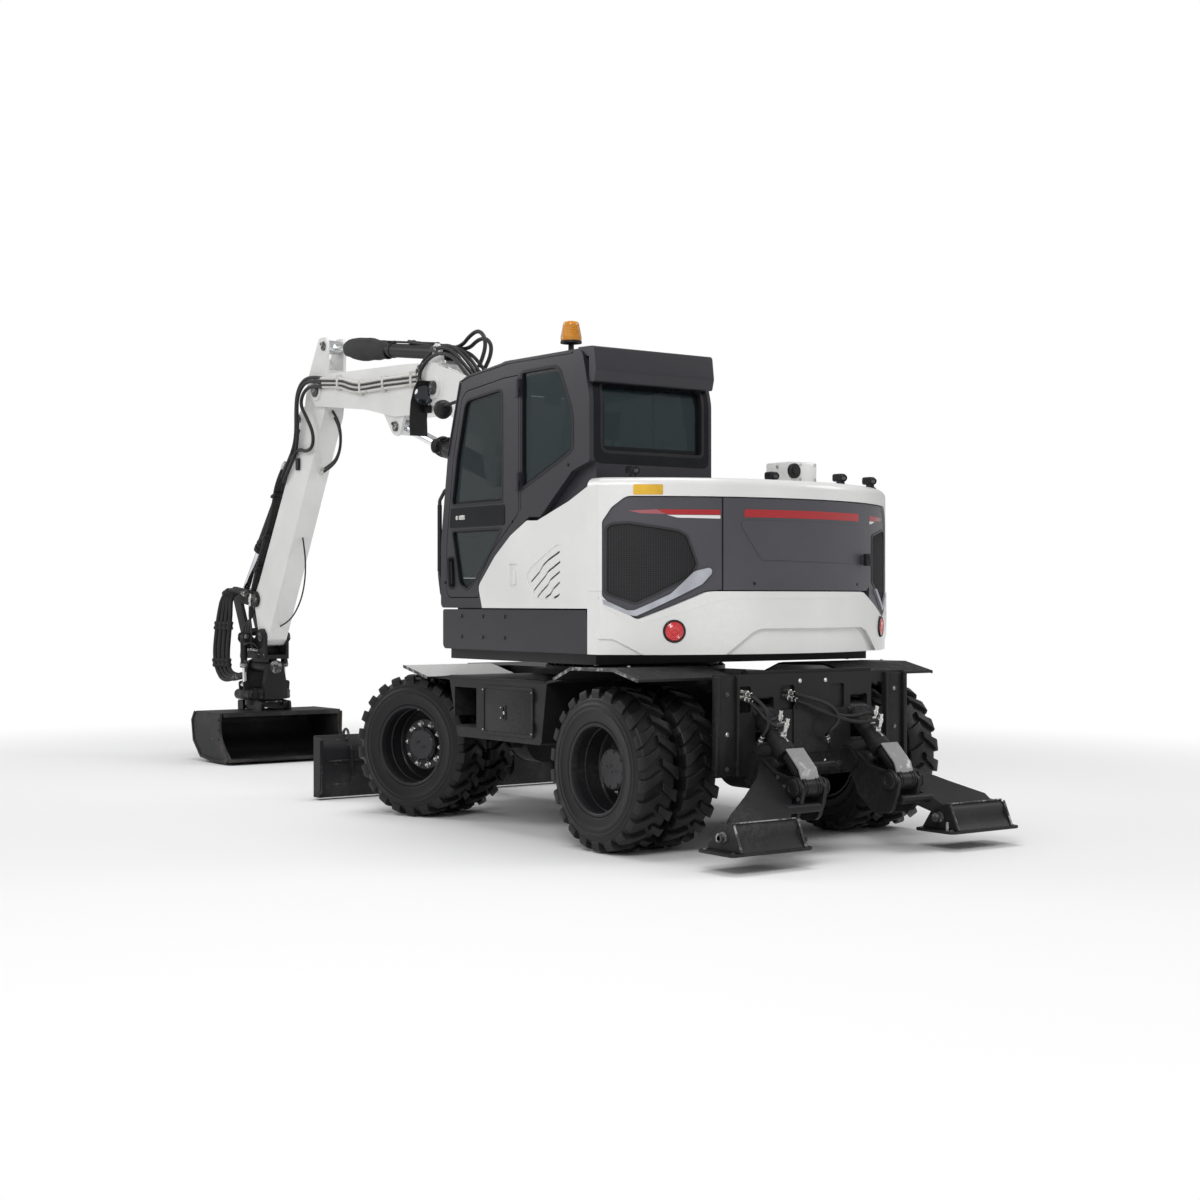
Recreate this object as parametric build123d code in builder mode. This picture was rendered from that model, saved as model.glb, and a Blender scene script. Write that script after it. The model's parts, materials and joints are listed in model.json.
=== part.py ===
from build123d import *
from math import hypot
import os

# Wheeled excavator with twin tyres, a two-piece boom, a tilting rotator and bucket,
# a dozer blade in front and two swinging stabiliser legs at the rear.
# Millimetres. +X is forward, +Y left, +Z up. Origin on the ground under the slew centre.

# Driving dimensions, chassis and wheels
HALF_WIDTH = 1270
WHEEL_R = 525
TYRE_W = 275
TWIN_PITCH = 330
RIM_R = 300
RIM_WALL = 16
DISC_T = 20
HUB_R = 130
AXLE_X = 1275
KINGPIN_Y = 790
STEER_STORED = 20
FRAME_TOP = 1100
FRAME_BOTTOM = 640
FRAME_HALF = 380
FRAME_REAR = -1880
FRAME_FRONT = 1700
SLEW_R = 560

# Driving dimensions, upper structure
DECK_LOW = 1180
SKIRT_LOW = 1250
DECK_TOP = 1530
HOUSE_LOW = 1540
SKIRT_IN = 1182
TAIL_FRONT = -1160
BODY_HALF = 1250
TAIL_R = 1800
COUNTER_TOP = 1650
HOOD_TOP = 2330
SHELL_WALL = 40
COVER_HALF = 620
COVER_LOW = 1690
COVER_TOP = 2170
CAB_FRONT = 700
CAB_IN = 220
CAB_OUT = 1220
CAB_SKIN = 1165
CAB_WALL = 50
GLASS_T = 8

# Driving dimensions, boom group, as side points (x, z)
BOOM_Y = -80
BOOM_HALF = 150
UPPER_HALF = 135
FORK_T = 26
ARM_HALF = 102
BOOM_FOOT = (350, 1720)
ELBOW = (2700, 3380)
ARM_PIVOT = (4930, 3560)
ARM_TIP = (6150, 1220)
ROCKER_PIN = (6280, 1600)
ROCKER_EYE = (6820, 1660)
LINK_PIN = (6540, 1150)
TILT_Z = 930
TILT_X = (6080, 6620)
ROTOR_X = 6350

# Driving dimensions, blade and stabilisers, as side points (x, z)
BLADE_HINGE = (1740, 560)
BLADE_X = (2450, 2600)
BLADE_Z = (20, 510)
LEG_HINGE = (-1960, 560)
LEG_EYE = (-2300, 450)
PAD_PIN = (-2390, 205)
LEG_IN = 300
LEG_OUT = 510
CHEEK_T = 31.2
LEG_PIN_R = 22
PAD_IN = 580
PAD_OUT = 1220

# Clearances
HINGE_GAP = 0.3
EYE_GAP = 6
PANEL_GAP = 6
BORE_GAP = 4


def side(y):
    """Plane across Y: sketch x is X, sketch y is Z."""
    return Plane(origin=(0, y, 0), x_dir=(1, 0, 0), z_dir=(0, -1, 0))


def front(x):
    """Plane across X: sketch x is Y, sketch y is Z."""
    return Plane(origin=(x, 0, 0), x_dir=(0, 1, 0), z_dir=(1, 0, 0))


def rounded(rows):
    """Closed line through (a, b) or (a, b, corner radius) rows."""
    corners = [row[2] if len(row) == 3 else 0 for row in rows]
    FilletPolyline(*[(row[0], row[1]) for row in rows], radius=corners, close=True)


def prism(plane, rows, depth, mode=Mode.ADD, grow=0):
    """Rounded outline, larger or smaller by grow, made solid both ways by depth."""
    with BuildSketch(plane) as outline:
        with BuildLine():
            rounded(rows)
        make_face()
        if grow:
            offset(amount=grow, mode=Mode.REPLACE)
    extrude(outline.sketch, amount=depth, both=True, mode=mode)


def plate(rows, y_low, y_high, mode=Mode.ADD, grow=0):
    """Side outline of (x, z) rows made solid between two Y values."""
    prism(side((y_low + y_high) / 2), rows, abs(y_high - y_low) / 2, mode, grow)


def cross_plate(rows, x_low, x_high, mode=Mode.ADD, grow=0):
    """Front outline of (y, z) rows made solid between two X values."""
    prism(front((x_low + x_high) / 2), rows, abs(x_high - x_low) / 2, mode, grow)


def deck(rows, z_low, z_high, mode=Mode.ADD):
    """Plan outline of (x, y) rows made solid between two heights."""
    prism(Plane.XY.offset((z_low + z_high) / 2), rows, (z_high - z_low) / 2, mode)


def block(x, y, z, mode=Mode.ADD):
    """Box between (low, high) pairs."""
    with Locations(((x[0] + x[1]) / 2, (y[0] + y[1]) / 2, (z[0] + z[1]) / 2)):
        Box(abs(x[1] - x[0]), abs(y[1] - y[0]), abs(z[1] - z[0]), mode=mode)


def bar(start, end, radius, mode=Mode.ADD):
    """Round bar between two points."""
    run = Vector(*end) - Vector(*start)
    with BuildSketch(Plane(origin=start, z_dir=run)) as ring:
        Circle(radius)
    extrude(ring.sketch, amount=run.length, mode=mode)


def cross_bar(spot, y_low, y_high, radius, mode=Mode.ADD):
    """Round bar along Y at a side point."""
    bar((spot[0], y_low, spot[1]), (spot[0], y_high, spot[1]), radius, mode)


def along(a, b, reach):
    """Point at a distance from a towards b."""
    span = sum((q - p) ** 2 for p, q in zip(a, b)) ** 0.5
    return tuple(p + (q - p) * reach / span for p, q in zip(a, b))


def finish(made, label):
    made.part.label = label
    export_step(made.part, f"parts/{label}.step")


os.makedirs("parts", exist_ok=True)

# Chassis frame: box beam, slew ring, fenders, tool boxes, rear plate and hinge ears
FENDER_T = 12
REAR_FENDER = ((-800, 1085), (-1000, 1160), (-1460, 1165), (-1725, 1105))
FRONT_FENDER = ((810, 1040), (1160, 1113))
BOX_IN = 520
BOX_OUT = 1200
TOOL_BOX = ((620, 1060, 15), (500, 630, 30), (-560, 630, 30), (-630, 1060, 15))
STEP_X = (250, 540)
STAB_FOOT = (-1850, 880)
BLADE_FOOT = (1765, 960)
FRONT_EARS = ((1640, 480), (1740, 480, 40), (1800, 560, 40), (1800, 980, 40), (1740, 1030, 30), (1640, 1030))
REAR_EARS = ((-1870, 470), (-1960, 490, 40), (-2030, 560, 40), (-1960, 630, 40), (-1870, 660))
BLADE_Y = (300, 340)
BLADE_TUBE = 50
STAB_TUBE = 62
STAB_Y = 405
STAB_EAR = 73.8

with BuildPart() as chassis_frame:
    block((FRAME_REAR + 60, FRAME_FRONT), (-FRAME_HALF, FRAME_HALF), (FRAME_BOTTOM + 150, FRAME_TOP))
    block((-620, 560), (-BOX_IN, BOX_IN), (FRAME_BOTTOM, FRAME_TOP))
    block((FRAME_REAR, FRAME_REAR + 60), (-530, 530), (470, 1150))
    block((FRAME_FRONT - 60, FRAME_FRONT), (-350, 350), (470, FRAME_TOP))
    for hand in (-1, 1):
        for x_at in (-AXLE_X, AXLE_X):
            block((x_at - 110, x_at + 110), (hand * 200, hand * 330), (620, FRAME_BOTTOM + 150))
        plate(TOOL_BOX, hand * BOX_IN, hand * BOX_OUT)
        for run in (REAR_FENDER, FRONT_FENDER):
            low = [(x, z - FENDER_T) for x, z in reversed(run)]
            plate(list(run) + low, hand * 500, hand * HALF_WIDTH)
            foot_x = [x for x, z in run[1:3]]
            block((min(foot_x) - 60, min(foot_x) + 60), (hand * 350, hand * 560), (1000, 1100))
        plate(((560, 1030), (815, 1029), (815, 1039), (600, 1059)), hand * BOX_IN, hand * BOX_OUT)
        plate(((-560, 1030), (-805, 1072), (-805, 1084), (-620, 1059)), hand * BOX_IN, hand * BOX_OUT)
        plate(FRONT_EARS, hand * BLADE_Y[0], hand * BLADE_Y[1])
        blade_ear = BLADE_TUBE * 1.12 + 4 + HINGE_GAP
        plate(((1640, 870), (1765, 900, 30), (1830, 960, 30), (1765, 1010, 30), (1640, 1030)),
              hand * blade_ear, hand * (blade_ear + 25))
        for y_in in (LEG_IN - HINGE_GAP - 30, LEG_OUT + HINGE_GAP):
            plate(REAR_EARS, hand * y_in, hand * (y_in + 30))
        for y_in in (STAB_Y - STAB_EAR - 20, STAB_Y + STAB_EAR):
            plate(((-1750, 790), (-1870, 800, 30), (-1910, 880, 30), (-1870, 950, 30), (-1750, 960)),
                  hand * y_in, hand * (y_in + 20))
    block(STEP_X, (BOX_OUT - 260, BOX_OUT + 10), (700, 980), Mode.SUBTRACT)
    for hand in (-1, 1):
        gap = (hand * STAB_Y - STAB_EAR, hand * STAB_Y + STAB_EAR)
        block((FRAME_REAR - 2, FRAME_REAR + 62), gap, (700, 975), Mode.SUBTRACT)
        block((FRAME_REAR + 58, -1740), gap, (780, 975), Mode.SUBTRACT)
    with BuildSketch(Plane.XY.offset(FRAME_TOP)) as ring:
        Circle(SLEW_R)
    extrude(ring.sketch, amount=DECK_LOW - FRAME_TOP - 1)
finish(chassis_frame, "chassis_frame")

HUB_FACE = HALF_WIDTH - TYRE_W + 12 - HINGE_GAP

# Axles: beam, round middle housing, and yokes for the front kingpins
for label, x_at, reach in (("rear_axle", -AXLE_X, 640), ("front_axle", AXLE_X, 650)):
    with BuildPart() as axle:
        bar((x_at, -reach, WHEEL_R), (x_at, reach, WHEEL_R), 85)
        bar((x_at - 120, 0, WHEEL_R), (x_at + 120, 0, WHEEL_R), 190)
        for hand in (-1, 1):
            block((x_at - 105, x_at + 105), (hand * 200, hand * 330), (WHEEL_R, 620 - HINGE_GAP))
        if x_at > 0:
            for hand in (-1, 1):
                for z_at in (WHEEL_R - 150, WHEEL_R + 110):
                    block((x_at - 55, x_at + 55), (hand * 600, hand * KINGPIN_Y), (z_at, z_at + 40))
                    bar((x_at, hand * KINGPIN_Y, z_at), (x_at, hand * KINGPIN_Y, z_at + 40), 55)
                block((x_at - 55, x_at + 55), (hand * 600, hand * 650), (WHEEL_R - 150, WHEEL_R + 150))
        if x_at < 0:
            for hand in (-1, 1):
                bar((x_at, hand * 560, WHEEL_R), (x_at, hand * HUB_FACE, WHEEL_R), 150)
    finish(axle, label)


def corner_plane(x_at, hand, steer, y_from_pin):
    """Plane across one wheel's axle, at a distance outboard of its kingpin line."""
    turn = Rot(0, 0, steer)
    out = Vector(0, hand * y_from_pin, 0).rotate(Axis.Z, steer)
    pin = Vector(x_at, hand * KINGPIN_Y, WHEEL_R)
    return Plane(origin=pin + out, x_dir=turn.x_axis.direction, z_dir=turn.y_axis.direction * hand)


# Wheels: label part, axle x, side, steering angle
WHEELS = (
    ("front_left", AXLE_X, 1, STEER_STORED),
    ("front_right", AXLE_X, -1, STEER_STORED),
    ("rear_left", -AXLE_X, 1, 0),
    ("rear_right", -AXLE_X, -1, 0),
)
OUTER_MID = HALF_WIDTH - TYRE_W / 2 - KINGPIN_Y
INNER_MID = OUTER_MID - TWIN_PITCH
TREAD_H = 28
BEAD_R = RIM_R - 10
RIM_OUT = BEAD_R - HINGE_GAP
KNUCKLE_R = 105
KNUCKLE_OUT = 120

for place, x_at, hand, steer in WHEELS:
    # Tyre half sections from the middle plane: width share, radius
    with BuildPart() as tyres:
        for mid in (INNER_MID, OUTER_MID):
            base = corner_plane(x_at, hand, steer, mid)
            with BuildSketch(Plane(origin=base.origin, x_dir=base.x_dir, z_dir=base.z_dir.cross(base.x_dir))) as cut:
                with BuildLine():
                    half = TYRE_W / 2
                    Polyline(
                        (BEAD_R, -half + 25), (RIM_R + 20, -half + 8), (RIM_R + 100, -half),
                        (WHEEL_R - 45, -half + 4), (WHEEL_R - 8, -half + 28), (WHEEL_R, -half + 60),
                        (WHEEL_R, half - 60), (WHEEL_R - 8, half - 28), (WHEEL_R - 45, half - 4),
                        (RIM_R + 100, half), (RIM_R + 20, half - 8), (BEAD_R, half - 25), close=True,
                    )
                make_face()
            revolve(cut.sketch, axis=Axis(base.origin, base.z_dir))
    finish(tyres, f"tyres_{place}")

    with BuildPart() as rims:
        for mid in (INNER_MID, OUTER_MID):
            face = corner_plane(x_at, hand, steer, mid)
            with BuildSketch(face.offset(-TYRE_W / 2 + 12)) as ring:
                Circle(RIM_OUT)
                Circle(BEAD_R - RIM_WALL, mode=Mode.SUBTRACT)
            extrude(ring.sketch, amount=TYRE_W - 24)
        # One dished disc pair carries both rims between the twins
        face = corner_plane(x_at, hand, steer, OUTER_MID - TYRE_W / 2 + 12)
        with BuildSketch(face.offset(-TWIN_PITCH + TYRE_W - 24)) as ring:
            Circle(RIM_OUT)
            Circle(BEAD_R - RIM_WALL, mode=Mode.SUBTRACT)
        extrude(ring.sketch, amount=TWIN_PITCH - TYRE_W + 24)
        with BuildSketch(face) as disc:
            Circle(BEAD_R - RIM_WALL)
        extrude(disc.sketch, amount=DISC_T)
        with BuildSketch(face) as hub:
            Circle(HUB_R)
        extrude(hub.sketch, amount=130)
        with BuildSketch(face) as nuts:
            with PolarLocations(167, 10):
                RegularPolygon(20, 6)
        extrude(nuts.sketch, amount=DISC_T + 22)
    finish(rims, f"rims_{place}")

    if x_at > 0:
        with BuildPart() as knuckle:
            face = corner_plane(x_at, hand, steer, -80)
            with BuildSketch(face) as body:
                Circle(KNUCKLE_R)
            extrude(body.sketch, amount=80 + KNUCKLE_OUT)
            block((x_at - 60, x_at + 60), (hand * KINGPIN_Y - 60, hand * KINGPIN_Y + 60), (WHEEL_R - 110 + HINGE_GAP, WHEEL_R + 110 - HINGE_GAP))
            with BuildSketch(face.offset(80 + KNUCKLE_OUT)) as hub:
                Circle(90)
            extrude(hub.sketch, amount=OUTER_MID - TYRE_W / 2 + 12 - KNUCKLE_OUT - HINGE_GAP)
        finish(knuckle, "knuckle_left" if hand > 0 else "knuckle_right")

# Cylinders
# label, foot (x, z), eye (x, z), mid-plane Y values, closed length, tube, rod and eye radius
LIFT_Y = 225
LIFT_TUBE = 60
ADJUST_TUBE = 75
ARM_TUBE = 62
BUCKET_TUBE = 55
LIFT_FOOT = (1000, 1330)
LIFT_EYE = (1500, 2780)
ADJUST_FOOT = (1900, 2580)
ADJUST_EYE = (3450, 3110)
ARM_FOOT = (2800, 3700)
ARM_EYE = (4850, 3970)
BUCKET_FOOT = (5380, 3330)
BLADE_EYE = (2370, 330)
CYLINDERS = (
    ("lift", LIFT_FOOT, LIFT_EYE, (BOOM_Y - LIFT_Y, BOOM_Y + LIFT_Y), 1035, LIFT_TUBE, 36, 62),
    ("adjust", ADJUST_FOOT, ADJUST_EYE, (BOOM_Y,), 1100, ADJUST_TUBE, 45, 70),
    ("arm", ARM_FOOT, ARM_EYE, (BOOM_Y,), 1815, ARM_TUBE, 38, 65),
    ("bucket", BUCKET_FOOT, ROCKER_EYE, (BOOM_Y,), 1700, BUCKET_TUBE, 34, 58),
    ("blade", BLADE_FOOT, BLADE_EYE, (0,), 680, BLADE_TUBE, 28, 45),
    ("stabiliser_left", STAB_FOOT, LEG_EYE, (STAB_Y,), 425, STAB_TUBE, 36, 56),
    ("stabiliser_right", STAB_FOOT, LEG_EYE, (-STAB_Y,), 425, STAB_TUBE, 36, 56),
)


def ear_gap(tube_r):
    """Half the width of a cylinder's eyes, a little over its gland ring."""
    return tube_r * 1.12 + 4


def barrel(foot, eye, closed, tube_r, rod_r, eye_r, pin_dir):
    """Tube with a foot eye, a bore and a gland ring; the bore starts past the eye."""
    mouth = along(foot, eye, closed - eye_r - EYE_GAP)
    collar = along(foot, eye, closed - eye_r - EYE_GAP - 50)
    half = Vector(*pin_dir) * ear_gap(tube_r)
    spot = Vector(*foot)
    bar(tuple(spot - half), tuple(spot + half), eye_r)
    bar(along(foot, eye, eye_r / 2), mouth, tube_r)
    bar(collar, mouth, tube_r * 1.12)
    bar(along(foot, eye, eye_r + 10), along(foot, eye, closed), rod_r + BORE_GAP, Mode.SUBTRACT)


def piston_rod(foot, eye, closed, tube_r, rod_r, eye_r, pin_dir):
    """Rod from inside the bore out to its eye."""
    half = Vector(*pin_dir) * ear_gap(tube_r)
    spot = Vector(*eye)
    bar(tuple(spot - half), tuple(spot + half), eye_r)
    bar(eye, along(eye, foot, closed - eye_r - 20), rod_r)


for label, foot, eye, rows, closed, tube_r, rod_r, eye_r in CYLINDERS:
    with BuildPart() as barrels:
        for y in rows:
            barrel((foot[0], y, foot[1]), (eye[0], y, eye[1]), closed, tube_r, rod_r, eye_r, (0, 1, 0))
    finish(barrels, f"{label}_barrel")
    with BuildPart() as rods:
        for y in rows:
            piston_rod((foot[0], y, foot[1]), (eye[0], y, eye[1]), closed, tube_r, rod_r, eye_r, (0, 1, 0))
    finish(rods, f"{label}_rod")

# Tilt cylinders stand across the machine, one each side of the coupler; (y from the boom, z)
TILT_FOOT = (225, 1230)
TILT_EYE = (215, 750)
TILT_CLOSED = 345
TILT_TUBE = 34
TILT_EYE_R = 30
for place, hand in (("left", 1), ("right", -1)):
    foot = (ROTOR_X, BOOM_Y + hand * TILT_FOOT[0], TILT_FOOT[1])
    eye = (ROTOR_X, BOOM_Y + hand * TILT_EYE[0], TILT_EYE[1])
    with BuildPart() as barrels:
        barrel(foot, eye, TILT_CLOSED, TILT_TUBE, 18, TILT_EYE_R, (1, 0, 0))
    finish(barrels, f"tilt_barrel_{place}")
    with BuildPart() as rods:
        piston_rod(foot, eye, TILT_CLOSED, TILT_TUBE, 18, TILT_EYE_R, (1, 0, 0))
    finish(rods, f"tilt_rod_{place}")

# Dozer blade: curved board, end plates and two arms back to the frame
with BuildPart() as blade:
    board = (
        (2505, BLADE_Z[0]), (BLADE_X[1], BLADE_Z[0]), (2580, 70, 20), (2540, 200, 200), (2550, 420, 100),
        (BLADE_X[1], BLADE_Z[1]), (2575, BLADE_Z[1]), (2500, 420, 100), (2490, 200, 200),
    )
    plate(board, -HALF_WIDTH, HALF_WIDTH)
    for hand in (-1, 1):
        plate(((BLADE_X[0], 60), (BLADE_X[1], BLADE_Z[0]), (BLADE_X[1], BLADE_Z[1]), (2480, 480)),
              hand * (HALF_WIDTH - 25), hand * HALF_WIDTH)
        arm_rows = ((1745, 526), (1745, 594), (1860, 594, 60), (2300, 420, 100), (2510, 400), (2510, 120), (2350, 150, 60))
        plate(arm_rows, hand * 225, hand * (BLADE_Y[0] - HINGE_GAP))
        cross_bar(BLADE_HINGE, hand * 225, hand * (BLADE_Y[0] - HINGE_GAP), 34)
        blade_ear = ear_gap(BLADE_TUBE) + HINGE_GAP
        plate(((2300, 330, 20), (2370, 400, 60), (2510, 400), (2510, 180), (2330, 260, 50)),
              hand * blade_ear, hand * (blade_ear + 25))
    block((2440, 2510), (-290, 290), (140, 240))
finish(blade, "blade")

# Stabiliser legs swing about Y; each has two cheeks, a wide foot beam and a hinged pad
CHEEK = (
    (-1915, 600, 30), (-1985, 620, 30), (-2120, 520, 80), (-2240, 500, 40), (-2300, 515, 60), (-2365, 450, 60),
    (-2330, 330, 40), (-2300, 240, 60), (-2150, 225, 100), (-2000, 340, 80), (-1905, 520, 30),
)
FOOT_BEAM = ((-2160, 250, 30), (-2180, 340, 40), (-2330, 380, 60), (-2440, 240, 30), (-2435, 190, 20), (-2350, 170, 20), (-2290, 235, 30))
for place, hand in (("left", 1), ("right", -1)):
    with BuildPart() as leg:
        for y_in in (LEG_IN, LEG_OUT - CHEEK_T):
            plate(CHEEK, hand * y_in, hand * (y_in + CHEEK_T))
        plate(FOOT_BEAM, hand * LEG_IN, hand * (PAD_OUT - 45))
        plate(((-2240, 150), (-2460, 150), (-2460, 280), (-2240, 280)),
              hand * PAD_IN, hand * (PAD_IN + 30), Mode.SUBTRACT)
        cross_bar(LEG_HINGE, hand * LEG_IN, hand * (LEG_IN + CHEEK_T), 50)
        cross_bar(LEG_HINGE, hand * (LEG_OUT - CHEEK_T), hand * LEG_OUT, 50)
        cross_bar(LEG_HINGE, hand * LEG_IN, hand * LEG_OUT, LEG_PIN_R)
    finish(leg, f"stabiliser_leg_{place}")
    with BuildPart() as pad:
        block((PAD_PIN[0] - 170, PAD_PIN[0] + 170), (hand * PAD_IN, hand * PAD_OUT), (110, 128))
        for y_in in (PAD_IN + 30 - HINGE_GAP - 22, PAD_OUT - 45 + HINGE_GAP):
            plate(((-2520, 120), (-2440, 255, 20), (-2350, 255, 20), (-2270, 120)), hand * y_in, hand * (y_in + 22))
    finish(pad, f"stabiliser_pad_{place}")

# Upper frame: platform, centre beams, boom tower and lift cylinder feet
TOWER = ((-300, 1500), (150, 1780, 80), (260, 1850, 60), (420, 1850, 60), (500, 1720, 80), (760, 1500))
LIFT_EAR = ((550, 1200), (990, 1240, 60), (1075, 1330, 60), (1000, 1410, 60), (550, 1500))
with BuildPart() as upper_frame:
    rim = SKIRT_IN - HINGE_GAP
    rear = TAIL_FRONT + HINGE_GAP
    deck(((rear, -rim), (620, -rim), (620, rim), (rear, rim)), DECK_LOW, DECK_LOW + 80)
    deck(((rear, -1140), (600, -1140), (600, 1140), (rear, 1140)), DECK_LOW + 80, HOUSE_LOW - HINGE_GAP)
    with BuildSketch(Plane.XY.offset(DECK_LOW - 0.5)) as ring:
        Circle(SLEW_R - 20)
    extrude(ring.sketch, amount=10)
    for hand in (-1, 1):
        y_in = BOOM_Y + hand * (BOOM_HALF + EYE_GAP)
        plate(TOWER, y_in, y_in + hand * 36)
        cross_bar(BOOM_FOOT, y_in, y_in + hand * 52, 75)
        for y_ear in (LIFT_Y - ear_gap(LIFT_TUBE) - HINGE_GAP - 24, LIFT_Y + ear_gap(LIFT_TUBE) + HINGE_GAP):
            plate(LIFT_EAR, BOOM_Y + hand * y_ear, BOOM_Y + hand * (y_ear + 24))
    block((550, 640), (BOOM_Y - 320, BOOM_Y + 320), (1200, 1500))
finish(upper_frame, "upper_frame")


def tail(z_low, z_high, radius, half, x_front, mode=Mode.ADD):
    """Round tail between two heights: a disc about the slew axis cut by the sides and a front line."""
    with BuildSketch(Plane.XY.offset(z_low)) as plan:
        Circle(radius)
        with Locations((x_front - radius / 2, 0)):
            Rectangle(radius, 2 * half, mode=Mode.INTERSECT)
    extrude(plan.sketch, amount=z_high - z_low, mode=mode)


# Counterweight: heavy casting across the tail, under the engine shell
with BuildPart() as counterweight:
    tail(SKIRT_LOW, COUNTER_TOP, TAIL_R, BODY_HALF, TAIL_FRONT)
finish(counterweight, "counterweight")

# Skirts: dark side boxes under the cab and under the right deck
with BuildPart() as skirts:
    for hand in (-1, 1):
        plate(((650, SKIRT_LOW, 40), (650, DECK_TOP, 20), (-935, DECK_TOP), (-985, SKIRT_LOW)), hand * SKIRT_IN, hand * (SKIRT_IN + 50))
        plate(((-941, DECK_TOP), (-1130, DECK_TOP), (-1154, 1400), (-1154, SKIRT_LOW), (-991, SKIRT_LOW)), hand * SKIRT_IN, hand * (SKIRT_IN + 58))
finish(skirts, "skirts")

# Vertical hinges: axis (x, y), barrel radius, and heights where the moving barrels start
REAR_HINGE = (-1683, 636)
REAR_HINGE_Z = (1740, 2060)
DOOR_HINGE = (-330, 1236)
DOOR_HINGE_Z = (2330, 2960)
HINGE_R = 11
HINGE_LEN = 60


def hinge_barrels(axis, starts, low, high):
    """Upright barrels on one axis, from low to high above each start."""
    for z_at in starts:
        bar((axis[0], axis[1], z_at + low), (axis[0], axis[1], z_at + high), HINGE_R)


# Engine shell: white hood over the tail, open at the rear door and the corner grilles
with BuildPart() as engine_shell:
    tail(COUNTER_TOP + HINGE_GAP, HOOD_TOP, TAIL_R - 10, BODY_HALF, TAIL_FRONT)
    tail(COUNTER_TOP - 1, HOOD_TOP - SHELL_WALL, TAIL_R - 10 - SHELL_WALL, BODY_HALF - SHELL_WALL, TAIL_FRONT - SHELL_WALL, Mode.SUBTRACT)
    block((-TAIL_R - 10, -1500), (-COVER_HALF - PANEL_GAP, COVER_HALF + PANEL_GAP), (COVER_LOW - PANEL_GAP, COVER_TOP + PANEL_GAP), Mode.SUBTRACT)
    for z_at in REAR_HINGE_Z:
        bar((*REAR_HINGE, z_at - HINGE_GAP), (*REAR_HINGE, z_at + HINGE_LEN + HINGE_GAP), HINGE_R + 1, Mode.SUBTRACT)
    hinge_barrels(REAR_HINGE, REAR_HINGE_Z, HINGE_LEN + HINGE_GAP, 2 * HINGE_LEN)
finish(engine_shell, "engine_shell")

# Rear door between the corner grilles, hinged on its left edge
with BuildPart() as rear_door:
    with BuildSketch(Plane.XY.offset(COVER_LOW)) as plan:
        Circle(TAIL_R - 10)
        Circle(TAIL_R - 10 - SHELL_WALL, mode=Mode.SUBTRACT)
        with Locations((-TAIL_R, 0)):
            Rectangle(1000, 2 * COVER_HALF, mode=Mode.INTERSECT)
    extrude(plan.sketch, amount=COVER_TOP - COVER_LOW)
    hinge_barrels(REAR_HINGE, REAR_HINGE_Z, 0, HINGE_LEN)
    for z_at in REAR_HINGE_Z:
        block((-1694, -1678), (590, 636), (z_at, z_at + HINGE_LEN))
finish(rear_door, "rear_door")

with BuildPart() as engine_block:
    block((-1620, -1250), (-420, 420), (COUNTER_TOP + HINGE_GAP, 2150))
finish(engine_block, "engine_block")

# White side panel below the cab's shoulder, and the right deck with tank and battery box
with BuildPart() as side_panel:
    rows = (
        (110, HOUSE_LOW), (160, 1690, 60), (-50, 1890, 200), (-250, 2030, 200), (-450, 2125, 60), (-575, 2120, 60),
        (-940, 2232, 60), (-1154, 2320), (-1154, HOUSE_LOW),
    )
    plate(rows, CAB_SKIN + HINGE_GAP, CAB_OUT + 5)
finish(side_panel, "side_panel")

with BuildPart() as right_deck:
    deck(((-1150, -1225, 20), (640, -1225, 60), (640, -420, 20), (-1150, -420)), HOUSE_LOW, 1900)
    deck(((-1150, -1225, 20), (-100, -1225, 60), (-100, -420, 20), (-1150, -420)), 1899, 2300)
    block((-1150, -340), (-420, 200), (HOUSE_LOW, 2250))
finish(right_deck, "right_deck")

# Cab: hollow shell from its side profile, with the windows cut
CAB_PROFILE = (
    (CAB_FRONT, HOUSE_LOW, 40), (CAB_FRONT, 2000, 400), (600, 2650, 400), (430, 3160, 140), (-200, 3220, 300), (-1060, 3200, 60),
    (-1140, 2900, 300), (-1140, 2480, 20), (-950, 2430, 40), (-575, 2145), (-440, 2150), (-260, 2050, 200),
    (-40, 1905, 200), (175, 1700, 80), (118, HOUSE_LOW),
)
CAB_BODY = (
    (CAB_FRONT, HOUSE_LOW, 40), (CAB_FRONT, 2000, 400), (600, 2650, 400), (430, 3160, 140), (-200, 3220, 300), (-1060, 3200, 60),
    (-1140, 2900, 300), (-1140, HOUSE_LOW),
)
CAB_ROOM = (
    (650, 1600, 30), (650, 2000, 400), (550, 2640, 400), (395, 3115, 100), (-200, 3165, 300), (-1020, 3150, 40),
    (-1085, 2880, 300), (-1085, 1600, 30),
)
DOOR = (
    (620, 1610, 60), (620, 2000, 400), (530, 2600, 400), (400, 3060, 120), (-150, 3110, 40), (-320, 3110, 20),
    (-320, 2180, 60), (20, 1925, 120), (205, 1715, 80), (165, 1610, 30),
)
DOOR_GLASS_TOP = ((560, 2260, 40), (490, 2600, 400), (370, 3000, 100), (-120, 3040, 60), (-120, 2260, 20))
DOOR_GLASS_LOW = ((555, 2090, 30), (450, 1700, 80), (340, 1660, 60), (240, 1720, 80), (-130, 2090, 30))
DOOR_T = 45
FRONT_OPENING = ((CAB_IN + 60, 1750, 60), (CAB_IN + 60, 3080, 60), (CAB_OUT - 90, 3080, 60), (CAB_OUT - 90, 1750, 60))
REAR_OPENING = ((CAB_IN + 70, 2540, 40), (CAB_IN + 70, 3000, 60), (CAB_OUT - 90, 3000, 60), (CAB_OUT - 90, 2540, 60))
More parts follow.
